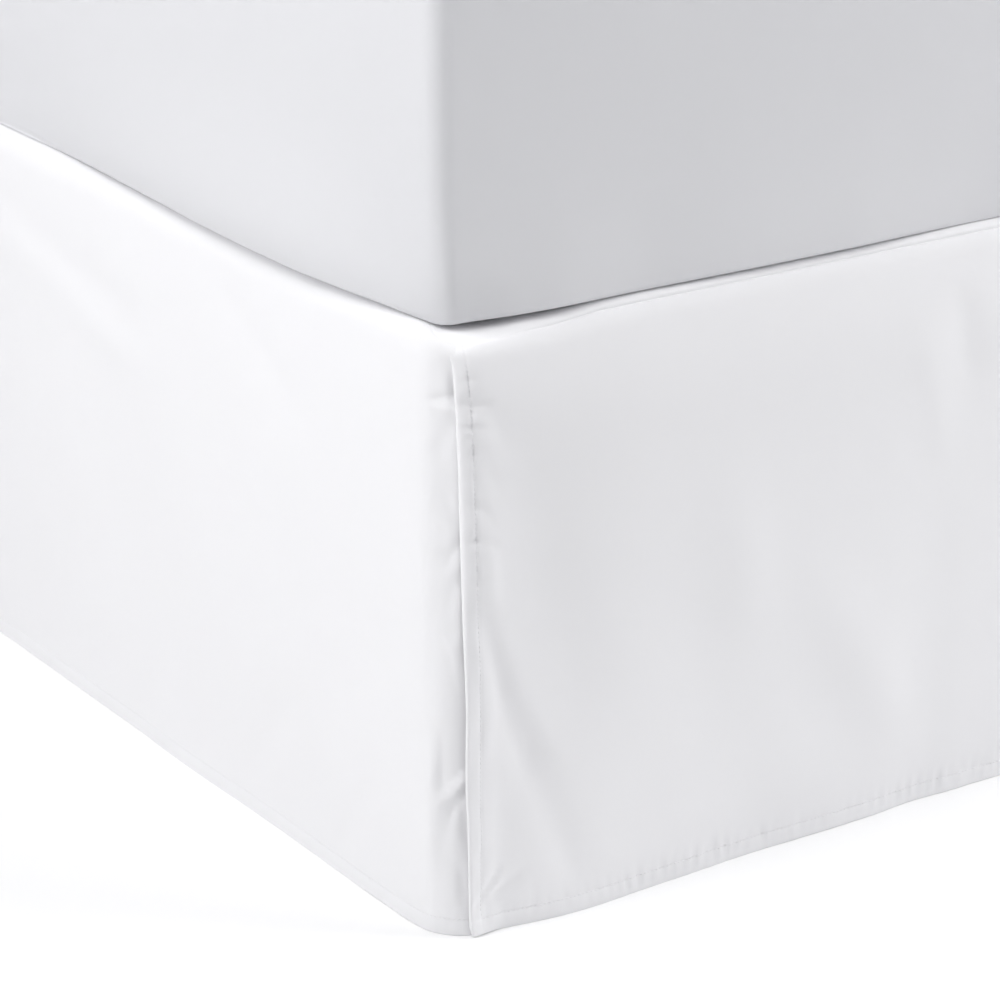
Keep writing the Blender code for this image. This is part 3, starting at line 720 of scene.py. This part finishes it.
def pucker_places(seed, start, end, shortest, longest, depth):
    """Where the stitching gathers the cloth: place, width, depth and slant of each small dent."""
    dice = np.random.default_rng(seed)
    places, at = [], start
    while at < end:
        width, deep, slant = dice.uniform(0.0018, 0.0034), dice.uniform(0.3, 1.0), dice.uniform(-0.35, 0.35)
        places.append((at, width, depth * deep, slant))
        at += dice.uniform(shortest, longest)
    return places


def puckered(run, to_edge, places, reach_out, reach_in, width=HEM_WIDTH):
    """Small dents across a line of stitches, run along it, fading out to the edge and into the cloth."""
    away = to_edge - width
    total = np.zeros(np.broadcast(run, to_edge).shape)
    for at, spread, depth, slant in places:
        total -= depth * np.exp(-(((run - at - slant * away) / spread) ** 2))
    return total * np.exp(-((away / np.where(away < 0, reach_out, reach_in)) ** 2))


def hem_thread(lines):
    """The stitches along lines of (points, out): short spindles of thread with a gap between.

    STITCH gives their five rings: the step along, then lift and radius in radii of the thread.
    """
    points, faces = [], []
    for line, out in lines:
        reach = np.concatenate([[0], np.cumsum(np.linalg.norm(np.diff(line, axis=0), axis=1))])
        for middle in np.arange(THREAD_PITCH, reach[-1] - THREAD_PITCH / 2, THREAD_PITCH):
            rings = []
            for step, lift, radius in STITCH:
                at = [np.interp(middle + step, reach, line[:, k]) for k in range(3)]
                up = np.array([np.interp(middle, reach, out[:, k]) for k in range(3)])
                rings.append((np.array(at) + up * lift * THREAD_RADIUS, radius * THREAD_RADIUS, up))
            ahead = rings[-1][0] - rings[0][0]
            side = np.cross(ahead, rings[0][2])
            side /= np.linalg.norm(side)
            start = len(points)
            points.append(rings[0][0])
            for at, radius, up in rings[1:4]:
                points.extend([at + up * radius, at + side * radius, at - up * radius, at - side * radius])
            points.append(rings[4][0])
            for k in range(4):
                n = (k + 1) % 4
                faces.append((start, start + 1 + n, start + 1 + k))
                for ring in (start + 1, start + 5):
                    faces.append((ring + k, ring + n, ring + 4 + n, ring + 4 + k))
                faces.append((start + 13, start + 9 + k, start + 9 + n))
    return points, faces


def nearest(places, at):
    return int(np.argmin(np.abs(places - at)))


def add_thread(name, lines):
    made = new_piece(name, *hem_thread(lines))
    made.data.materials.append(thread)
    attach(made, "root")
    return made


percale, tree, shader = new_finish(
    "white_percale", Roughness=0.88, Specular_IOR_Level=0.25, Sheen_Weight=0.06, Sheen_Roughness=0.5
)
tree.links.new(woven(tree, 0.00038, 0.30, 0.0005), shader.inputs["Normal"])
white = clouded(tree, 11.0, (0.872, 0.869, 0.884), (0.886, 0.883, 0.898))
tree.links.new(white, shader.inputs["Base Color"])
thread, tree, shader = new_finish("white_thread", Roughness=0.6, Specular_IOR_Level=0.4, Sheen_Weight=0.1)
twist = node(tree, "Mapping", {"Vector": node(tree, "TexCoord")["Object"], "Rotation": (0.5, 0.6, 0.7)})[0]
twist = node(tree, "TexWave", {"Vector": twist, "Scale": 1100.0})["Fac"]
tree.links.new(two_tone(tree, twist, (0.80, 0.80, 0.82), (0.90, 0.90, 0.91)), shader.inputs["Base Color"])
ply = node(tree, "Bump", {"Strength": 0.4, "Distance": 0.0001, "Height": twist})[0]
tree.links.new(ply, shader.inputs["Normal"])


def add_side_drop(name, side, stations, folds, sways, creases, hem, seed):
    """A side drop: stations grow from the end of its return round the corner to the head."""
    down = drop_rows()[None, :]
    places = pucker_places(seed, 0.0, 2.06, 0.007, 0.016, 0.00030)

    def out_of_path(along, z):
        from_corner = np.abs(along) - SIDE_START
        at = from_corner + CORNER_RADIUS
        spread = SIDE_EASE * ramp(np.abs(along), SEWN_FROM, 0.04)
        out = easing(z, spread) + (hem_reach(at, hem) - spread) * hung(z)
        out = out + loose_folds(at, z, folds, sways) * smooth(from_corner / 0.10)
        out = out + small_creases(at, z, creases)
        below = BELOW_FOUNDATION - z
        out = np.maximum(out, INNERMOST[0] + INNERMOST[1] * smooth(below / 0.10))
        behind_foot_drop = smooth((-0.008 - at) / 0.012)
        out = out - (RETURN_IN + RETURN_HEM_IN * smooth(below / 0.15)) * behind_foot_drop
        to_hem = z - HEM_HEIGHT
        return out + hem_relief(to_hem) + puckered(at, to_hem, places, 0.010, 0.016)

    along = np.sort(side * stations)[:, None]
    face = on_drop(along, down, out_of_path)
    to_head = PATH_END - np.abs(along)
    to_hem = (1 - down) * (SHOULDER_FOOT - HEM_HEIGHT)
    to_return = np.abs(along) - (HALF_FOOT_RUN - RETURN_LENGTH)
    head_band = hem_relief(np.broadcast_to(to_head, face.shape[:2]))
    face = face + facing_out(face) * head_band[..., None]
    to_edge = np.minimum(np.minimum(to_head, to_return), to_hem + HEM_PRESSED)
    thick = hem_thickness(np.minimum(to_head, to_hem) - HEM_WIDTH)
    cut = np.stack(np.broadcast_arrays(along, to_hem), 2)
    middle = np.abs((along[1:] + along[:-1]) / 2)
    keeps = (down[:, :-1] >= 0) | (middle > SEWN_FROM - 0.012)
    drop = cloth_panel(name, face, thick, cut, to_edge, keeps=keeps)
    drop.data.materials.append(percale)
    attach(drop, "root")
    out = facing_out(face)
    hem_row = nearest(to_hem[0], HEM_WIDTH)
    head_column = nearest(to_head[:, 0], HEM_WIDTH)
    shown = np.abs(along[:, 0]) > HALF_FOOT_RUN
    lines = [
        (face[shown, hem_row], out[shown, hem_row]),
        (face[head_column, HEAD_STITCHES:hem_row], out[head_column, HEAD_STITCHES:hem_row]),
    ]
    sewing = add_thread(name + "_thread", lines)
    return drop


def side_stations(*between):
    """The columns of a side drop, from the end of its return to the head, close together at both ends."""
    start = HALF_FOOT_RUN - RETURN_LENGTH
    return np.concatenate([
        start + np.array([0.0, 0.0004, 0.0010, 0.0030]),
        steps(start + 0.010, *between),
        PATH_END - np.array(HEAD_COLUMNS),
    ])


left_stations = side_stations(
    0.010, HALF_FOOT_RUN, 0.0017, SEWN_FROM, 0.0017, SIDE_START + 0.10,
    0.0042, SIDE_START + 0.60, 0.0125, PATH_END - HEAD_COLUMNS[0] - 0.012,
)
right_stations = side_stations(
    0.012, HALF_FOOT_RUN, 0.0028, SEWN_FROM, 0.0028, SIDE_START + 0.06,
    0.0090, PATH_END - HEAD_COLUMNS[0] - 0.009,
)
left_cloth = (LEFT_FOLDS, LEFT_SWAYS, LEFT_CREASES, LEFT_HEM)
left_drop = add_side_drop("left_drop", -1, left_stations, *left_cloth, seed=11)
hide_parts("side_drop_left")
right_cloth = (RIGHT_FOLDS, RIGHT_SWAYS, RIGHT_CREASES, RIGHT_HEM)
right_drop = add_side_drop("right_drop", 1, right_stations, *right_cloth, seed=23)
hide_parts("side_drop_right")

# ---- Foot drop ----
# The drop across the foot, of the same percale, hemmed on three sides. Its ends lie over the returns of the
# side drops and hang loose at the corners, which is where the skirt is split for the bed's posts.
SPLIT_REACH = (  # how far its ends reach round the corners, by height
    (0.0, 0.0093), (0.008, 0.0114), (0.030, 0.0119), (0.080, 0.0128), (0.106, 0.0139), (0.130, 0.0139),
    (0.159, 0.0136), (0.180, 0.0140), (0.210, 0.0150), (0.263, 0.0163), (0.316, 0.0174), (0.360, 0.0187),
    (0.380, 0.0200), (0.394, 0.0215),
)
SPLIT_TOP = 0.3960  # above this height the ends are sewn down
FOOT_EASE = (0.0085, 0.0045)  # how far it eases out under the shoulder, and how much more between the corners
END_STRAIGHT = (0.90, 0.25)  # how nearly straight the end hems hang past the round corners, below and above
TIP_FLARE = 0.0010  # at the floor the tip stands out this much more
TIP_WIDTH = 0.012
EDGE_TURN = 0.0030  # the folded edge of the end hems turns in with this radius
TIP_LIFT = 0.0012  # and the tip is off the floor by this much more
FOOT_HEM = (
    (0.0, -0.0010), (0.025, -0.0010), (0.038, -0.0035), (0.049, -0.0015), (0.059, 0.0005), (0.069, 0.0025),
    (0.080, 0.0040), (0.091, 0.0055), (0.114, 0.0060), (0.127, 0.0055), (0.140, 0.0045), (0.165, 0.0035),
    (0.190, 0.0030), (0.215, 0.0020), (0.241, 0.0010), (0.267, 0.0015), (0.292, 0.0020), (0.318, 0.0025),
    (0.357, 0.0025), (0.373, 0.0), (0.400, -0.0005), (0.412, 0.0015), (0.44, 0.0015), (0.60, 0.0050),
    (0.90, 0.0080), (1.20, 0.0080), (1.45, 0.0040), (1.52, 0.0),
)
FOOT_FOLDS = (
    Fold(0.050, 0.320, 0.085, 0.185, 0.028, -0.0026),
    Fold(0.222, 0.235, 0.228, 0.200, 0.024, 0.0022),
    Fold(0.190, 0.160, 0.225, 0.030, 0.034, -0.0018),
    Fold(0.310, 0.160, 0.392, 0.022, 0.022, 0.0021),
    Fold(0.300, 0.090, 0.345, 0.020, 0.028, -0.0020),
    Fold(0.398, 0.375, 0.408, 0.325, 0.013, -0.0020),
    Fold(0.372, 0.330, 0.388, 0.275, 0.012, 0.0013),
    Fold(0.560, 0.300, 0.620, 0.000, 0.055, 0.0042),
    Fold(0.740, 0.350, 0.720, 0.040, 0.060, -0.0040),
    Fold(0.900, 0.280, 0.860, 0.000, 0.050, 0.0045),
    Fold(1.090, 0.330, 1.060, 0.080, 0.055, -0.0035),
    Fold(1.250, 0.260, 1.200, 0.000, 0.045, 0.0042),
    Fold(1.400, 0.300, 1.440, 0.020, 0.035, -0.0030),
    Fold(1.490, 0.240, 1.455, 0.080, 0.020, -0.0034),
)
FOOT_SWAYS = (Sway(0.52, 0.2, 0.0016), Sway(0.31, 2.3, 0.0009))
FOOT_CREASES = (
    Fold(0.0305, 0.2620, 0.0325, 0.2340, 0.0060, 0.0010),
    Fold(0.0280, 0.2180, 0.0375, 0.1780, 0.0072, -0.0017),
    Fold(0.0450, 0.1600, 0.0580, 0.1260, 0.0105, -0.0026),
    Fold(0.0670, 0.1050, 0.0900, 0.0450, 0.0130, -0.0024),
    Fold(0.0410, 0.2050, 0.0500, 0.1720, 0.0090, 0.0007),
    Fold(0.0600, 0.1480, 0.0720, 0.1200, 0.0120, 0.0007),
    Fold(0.0210, 0.2050, 0.0330, 0.1750, 0.0060, 0.0006),
    Fold(0.0310, 0.1500, 0.0250, 0.1200, 0.0050, 0.0007),
    Fold(0.0250, 0.1740, 0.0250, 0.1620, 0.0040, -0.0007),
    Fold(0.0245, 0.1490, 0.0240, 0.1380, 0.0030, -0.0006),
    Fold(0.0260, 0.1260, 0.0255, 0.1160, 0.0030, -0.0006),
    Fold(0.0245, 0.0900, 0.0245, 0.0850, 0.0025, -0.0006),
    Fold(0.0245, 0.0600, 0.0245, 0.0550, 0.0025, -0.0006),
    Fold(0.0275, 0.0500, 0.0250, 0.0400, 0.0035, -0.0007),
    Fold(0.0255, 0.0250, 0.0380, 0.0395, 0.0028, -0.0018),
    Fold(0.0280, 0.0250, 0.0390, 0.0340, 0.0024, 0.0014),
    Fold(0.0310, 0.0230, 0.0510, 0.0330, 0.0045, -0.0018),
    Fold(0.0315, 0.0180, 0.0315, 0.0080, 0.0028, -0.0007),
    Fold(0.0430, 0.0150, 0.0480, 0.0140, 0.0030, -0.0005),
    Fold(0.0655, 0.0220, 0.0655, 0.0140, 0.0035, -0.0005),
    Fold(-0.0020, 0.3880, 0.0140, 0.3880, 0.0034, 0.0006),
    Fold(0.0180, 0.3645, 0.0265, 0.3640, 0.0024, -0.0014),
    Fold(0.0280, 0.3600, 0.0370, 0.3440, 0.0080, -0.0009),
    Fold(0.0190, 0.3490, 0.0245, 0.3480, 0.0022, -0.0012),
    Fold(0.0250, 0.3270, 0.0310, 0.3150, 0.0060, -0.0011),
    Fold(0.0225, 0.3120, 0.0245, 0.3060, 0.0026, -0.0009),
    Fold(0.0235, 0.2960, 0.0285, 0.2900, 0.0032, -0.0009),
    Fold(0.0230, 0.2735, 0.0320, 0.2700, 0.0026, -0.0013),
)
EDGE_COLUMNS = (  # in from each end
    0.0, 0.0004, 0.0009, 0.0015, 0.0022, 0.0030, 0.0042, 0.0060, 0.0074, 0.0082, END_HEM_WIDTH, 0.0094, 0.0104,
    0.0120, 0.0142,
)
END_STITCHES = 8  # the row where the stitches of the end hems start
STRONG_PUCKERS = ((0.130, 0.150, 0.280), (0.340, 0.360, 0.440))  # rising, strong from, strong to

left_edge = -(HALF_FOOT_RUN + SPLIT_REACH[0][1])
width = -2 * left_edge
edge_columns = np.array(EDGE_COLUMNS)
from_left = np.concatenate([
    edge_columns,
    steps(0.0168, 0.0021, 0.120, 0.0027, 0.440, 0.0105, width - 0.075, 0.0040, width - 0.0168),
    (width - edge_columns)[::-1],
])
along = (left_edge + from_left)[:, None]
down = drop_rows()[None, :]
to_end = np.minimum(from_left, width - from_left)[:, None]
tall = np.where(down < 0, SEAM_HEIGHT - SHOULDER_FOOT, SHOULDER_FOOT - HEM_HEIGHT)
height = SHOULDER_FOOT - down * tall
reach = np.interp(height, *np.transpose(SPLIT_REACH)) - SPLIT_REACH[0][1]
along = along + np.sign(along) * reach * (1 - ramp(to_end, 0.014, 0.05))
to_hem = (1 - down) * (SHOULDER_FOOT - HEM_HEIGHT)
hem_puckers = pucker_places(5, 0.045, 1.49, 0.006, 0.011, 0.0017)
end_puckers = pucker_places(8, 0.012, 0.385, 0.009, 0.022, 0.0012)


def foot_drop_out(along, z):
    """How far the foot drop's outer face stands out from the path, over the returns of the side drops."""
    at = along + HALF_WIDTH
    hang = hung(z)
    from_end = HALF_FOOT_RUN - np.abs(along)
    # It eases out from the shoulder, and its end hems do so only lower down.
    end = 1 - ramp(from_end, -0.0214, 0.016)
    spread = FOOT_EASE[0] + FOOT_EASE[1] * ramp(from_end, 0.02, 0.10)
    ease = spread * (1 - end * (0.08 + 0.60 * ramp(z, 0.180, 0.090) + 0.30 * ramp(z, 0.375, 0.018)))
    out = easing(z, ease) + (hem_reach(at, FOOT_HEM) - spread) * hang**1.3
    out = out + loose_folds(at, z, FOOT_FOLDS, FOOT_SWAYS) + small_creases(at, z, FOOT_CREASES)
    # Past the round corners its ends hang nearly straight, and flare at the tip.
    round_corner = CORNER_RADIUS * (1 / np.cos(np.clip(-from_end / CORNER_RADIUS, 0, 1)) - 1)
    straight = END_STRAIGHT[0] + (END_STRAIGHT[1] - END_STRAIGHT[0]) * ramp(z, 0.130, 0.090)
    out = out + straight * round_corner * smooth((SPLIT_TOP - z) / 0.030)
    out = out + TIP_FLARE * smooth(1 - from_end / TIP_WIDTH) * smooth(hang) ** 4
    # The bottom hem puckers most in two places.
    strong = sum(ramp(at, a, b - a) * (1 - ramp(at, c, 0.03)) for a, b, c in STRONG_PUCKERS)
    dents = puckered(at, to_hem, hem_puckers, 0.009, 0.007)
    out = out + hem_relief(to_hem) + dents * (0.35 + 0.65 * strong)
    # The stitches of the end hems pull tighter higher up, and there by turns. Their folded edge turns in.
    upper = ramp(z, 0.225, 0.030)
    tight = 0.35 + 0.65 * upper * (0.5 + 0.5 * np.cos(2 * math.pi * (z - 0.305) / 0.0245))
    ends = hem_relief(to_end, groove=0.0010 * tight, width=END_HEM_WIDTH)
    dents = puckered(z, to_end, end_puckers, 0.0035, 0.007, width=END_HEM_WIDTH)
    ends = ends + dents * smooth(hang / 0.02) * (0.4 + 0.6 * upper)
    turned = np.clip(EDGE_TURN - to_end, 0, 0.94 * EDGE_TURN)
    ends = ends - (EDGE_TURN - np.sqrt(EDGE_TURN**2 - turned**2)) * smooth((SPLIT_TOP - z) / 0.012)
    ends = ends * (1 - smooth((0.010 - to_hem) / 0.004) * 0.5)
    sewn_down = ramp(z, SPLIT_TOP - 0.002, 0.005) * (1 - ramp(from_end, -0.021, 0.005))
    return out + ends - COTTON * sewn_down


face = on_drop(along, down, foot_drop_out)
face[..., 2] += TIP_LIFT * (1 - smooth(to_end / 0.030)) * (1 - smooth(to_hem / 0.020))
split = smooth((SPLIT_TOP - height) / 0.006)
thick = hem_thickness(np.minimum(to_end - END_HEM_WIDTH, to_hem - HEM_WIDTH))
cut = np.stack(np.broadcast_arrays(along, to_hem), 2)
to_edge = np.minimum(to_end + 0.003 * (1 - split), to_hem + HEM_PRESSED)
foot_drop = cloth_panel("foot_drop_sheet", face, thick, cut, to_edge)
foot_drop.data.materials.append(percale)
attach(foot_drop, "root")
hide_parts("foot_drop")
out = facing_out(face)
hem_row = nearest(to_hem[0], HEM_WIDTH)
left_column = nearest(from_left, END_HEM_WIDTH)
right_column = len(from_left) - 1 - left_column
sewn = (
    (slice(left_column, right_column), hem_row),
    (left_column, slice(END_STITCHES, hem_row)),
    (right_column, slice(END_STITCHES, hem_row)),
)
foot_sewing = add_thread("foot_drop_thread", [(face[line], out[line]) for line in sewn])

# ---- Mattress ----
# A sprung mattress in a fitted cotton sheet, a little greyer than the skirt. Its sides are drawn flat by the
# sheet, and its lower edge swells out over the skirt where the sheet is slack.
PAD_RADIUS = 0.005
CORNER_ROUND = 0.014  # its upright corners turn on this wider radius
CORNER_TURNS = (0.0072, 0.0092, 0.0114, 0.0140, 0.0190)
SET_BACK = (0.0019, 0.0115)  # it is this much smaller than the foundation at the sides and at the ends
TOP_ROLL = 0.010  # its upper edge is rounder by this much
ROLL_HEIGHT = 0.030
RIM = 0.100  # and the top is drawn in with it over this width
TOP_CROWN = 0.007
TOP_CROWN_RISE = 0.20  # the top is full this far in from its edges
HALF_MATTRESS = 0.762
SWELL_HEIGHT = (0.012, 0.055)  # its lower edge swells most this far up, and dies away over this height
SWELL_SAG = 0.12  # and where it swells it hangs down by this share
LEFT_SWELL = (  # from the foot, and how far out
    (0.000, -0.0010), (0.020, -0.0032), (0.061, 0.0016), (0.110, 0.0076), (0.161, 0.0116), (0.225, 0.0121),
    (0.290, 0.0106), (0.370, 0.0066), (0.446, 0.0026), (0.562, -0.0044), (0.900, -0.0004), (1.300, -0.0054),
    (1.700, 0.0006), (2.000, -0.0044),
)
FOOT_SWELL = (  # from the left side, and how far out
    (0.000, 0.0005), (0.030, 0.0010), (0.066, 0.0012), (0.095, 0.0033), (0.156, -0.0008), (0.247, 0.0025),
    (0.328, 0.0024), (0.425, -0.0047), (0.700, 0.0024), (1.000, -0.0026), (1.300, 0.0024), (1.500, 0.0000),
)
FOOT_CROWN = (0.007, 0.075)  # the foot face stands out this much between its corners, from this far in
CORNER_TUCK = Vector((0.0045, 0.0055, -0.0010))  # the sheet draws the left foot corner in and under by this
TUCK_HEIGHT = 0.032
LEFT_ROLL = (0.003, 0.012)  # the lower edge of the left side is rounder by this much, up to this height

low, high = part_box("mattress")
low += Vector((*SET_BACK, 0))
high -= Vector((*SET_BACK, 0))


def pad_places(start, end, *between, turns=()):
    """Coordinates across a rounded pad: close together round its two edges."""
    bend = PAD_RADIUS * (1 - np.tan(np.linspace(math.pi / 4, 0, 6)))
    bend = np.concatenate([bend, np.array(turns)])
    return np.concatenate([start + bend, np.array(between), end - bend[::-1]])


def wider_corners(points, out):
    """A rounded pad's points and outward directions, with its upright corners turned on CORNER_ROUND."""
    least, most = np.array(low[:2]) + CORNER_ROUND, np.array(high[:2]) - CORNER_ROUND
    centres = np.clip(points[:, :2], least, most)
    arm = points[:, :2] - centres
    length = np.maximum(np.linalg.norm(arm, axis=1), 1e-9)
    part = np.abs(arm) / length[:, None]
    flat = CORNER_ROUND / np.maximum(part.max(1), 1e-9)
    inset = CORNER_ROUND - PAD_RADIUS
    under = np.maximum(0, PAD_RADIUS**2 - inset**2 * (1 - 2 * part[:, 0] * part[:, 1]))
    old_edge = np.where(part.min(1) * flat <= inset, flat, inset * part.sum(1) + np.sqrt(under))
    turned = (np.abs(arm) > 1e-9).all(1)[:, None]
    level = np.linalg.norm(out[:, :2], axis=1)[:, None]
    points, out = points.copy(), out.copy()
    points[:, :2] = np.where(turned, centres + arm * (CORNER_ROUND / old_edge)[:, None], points[:, :2])
    out[:, :2] = np.where(turned, level * arm / length[:, None], out[:, :2])
    return points, out


def rounded_pad(name, xs, ys, zs):
    """A closed pad with evenly rounded edges, from the coordinates of its points along each axis."""
    axes = (xs, ys, zs)
    sizes = tuple(len(a) for a in axes)
    index = -np.ones(sizes, int)
    surface = np.zeros(sizes, bool)
    for axis in range(3):
        for end in (0, sizes[axis] - 1):
            surface[(slice(None),) * axis + (end,)] = True
    i, j, k = np.nonzero(surface)
    index[i, j, k] = np.arange(len(i))
    points = np.stack([xs[i], ys[j], zs[k]], 1)
    least = np.array([a[0] + PAD_RADIUS for a in axes])
    most = np.array([a[-1] - PAD_RADIUS for a in axes])
    core = np.clip(points, least, most)
    out = (points - core) / np.linalg.norm(points - core, axis=1, keepdims=True)
    faces = []
    for axis in range(3):
        for end in (0, sizes[axis] - 1):
            layer = np.take(index, end, axis=axis)
            if axis == 1:
                layer = layer.T
            quads = np.stack([layer[:-1, :-1], layer[1:, :-1], layer[1:, 1:], layer[:-1, 1:]], -1)
            quads = quads.reshape(-1, 4)
            faces.append(quads if end else quads[:, ::-1])
    points, out = wider_corners(core + out * PAD_RADIUS, out)
    return new_piece(name, points, np.concatenate(faces).tolist()), out


along_x = steps(low.x + 0.024, 0.010, low.x + 0.48, 0.032, high.x - 0.024)
along_y = steps(low.y + 0.024, 0.010, low.y + 0.60, 0.036, high.y - 0.024)
xs = pad_places(low.x, high.x, *along_x, turns=CORNER_TURNS)
ys = pad_places(low.y, high.y, *along_y, turns=CORNER_TURNS)
zs = pad_places(low.z, high.z, *steps(low.z + 0.023, 0.009, high.z - 0.023))
mattress, out = rounded_pad("mattress_in_sheet", xs, ys, zs)


def swollen(points):
    """The mattress as it sits: lower edge swelling, sides and top crowned, left foot corner a little slack."""
    from_side, from_foot = points[:, 0] + HALF_WIDTH, points[:, 1] - FOOT_PLANE_Y
    up = points[:, 2] - low.z
    grown = points.copy()
    near_edge = np.exp(-(((up - SWELL_HEIGHT[0]) / SWELL_HEIGHT[1]) ** 2))
    places, reach = np.transpose(LEFT_SWELL)
    side = np.interp(from_foot, places, reach) * np.maximum(0, -out[:, 0])
    side += np.interp(from_foot, places + 0.15, reach) * np.maximum(0, out[:, 0])
    grown[:, 0] += np.sign(out[:, 0]) * side * near_edge
    grown[:, 2] -= SWELL_SAG * side * near_edge * (1 - smooth(up / 0.03))
    end = np.interp(from_side, *np.transpose(FOOT_SWELL))
    grown[:, 1] -= end * np.maximum(0, -out[:, 1]) * near_edge
    roll = TOP_ROLL * np.clip((up - (high.z - low.z - ROLL_HEIGHT)) / ROLL_HEIGHT, 0, 1) ** 2
    for axis in (0, 1):
        rim = np.maximum(low[axis] + RIM - points[:, axis], 0)
        rim -= np.maximum(points[:, axis] - high[axis] + RIM, 0)
        grown[:, axis] += roll * rim / RIM
    crown = TOP_CROWN * ramp(up, 0.2, 0.09) * smooth((HALF_MATTRESS - np.abs(points[:, 0])) / TOP_CROWN_RISE)
    crown *= ramp(points[:, 1], low.y, TOP_CROWN_RISE) * smooth((high.y - points[:, 1]) / TOP_CROWN_RISE)
    grown[:, 2] += crown
    corner = (1 - ramp(from_side, 0.024, 0.044)) * (1 - ramp(from_foot, 0.016, 0.044))
    grown += (corner * (1 - smooth(up / TUCK_HEIGHT)))[:, None] * CORNER_TUCK
    inward = np.clip(np.minimum(points[:, 0] - low.x, high.x - points[:, 0]), 0, None) / FOOT_CROWN[1]
    at_foot = smooth((low.y + 0.10 - points[:, 1]) / 0.08)
    grown[:, 1] -= FOOT_CROWN[0] * (1 - np.exp(-inward)) * at_foot
    under = (1 - np.clip(up / LEFT_ROLL[1], 0, 1)) ** 2
    grown[:, 0] += LEFT_ROLL[0] * np.maximum(0, -out[:, 0]) * under
    return grown


move_points(mattress.data, swollen)
sheeting, tree, shader = new_finish(
    "fitted_sheet_cotton", Roughness=0.9, Specular_IOR_Level=0.25, Sheen_Weight=0.05
)
place = node(tree, "TexCoord")["Object"]
broad = node(tree, "TexNoise", {"Vector": place, "Scale": 9.0, "Detail": 3.0})["Fac"]
fine = node(tree, "TexNoise", {"Vector": place, "Scale": 1400.0, "Detail": 2.0})["Fac"]
soft = node(tree, "Bump", {"Strength": 1.0, "Distance": 0.0014, "Height": broad})[0]
grain = node(tree, "Bump", {"Strength": 0.3, "Distance": 0.00006, "Height": fine, "Normal": soft})[0]
tree.links.new(grain, shader.inputs["Normal"])
grey = two_tone(tree, broad, (0.709, 0.710, 0.730), (0.722, 0.723, 0.743))
tree.links.new(grey, shader.inputs["Base Color"])
mattress.data.materials.append(sheeting)
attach(mattress, "root")
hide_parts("mattress")
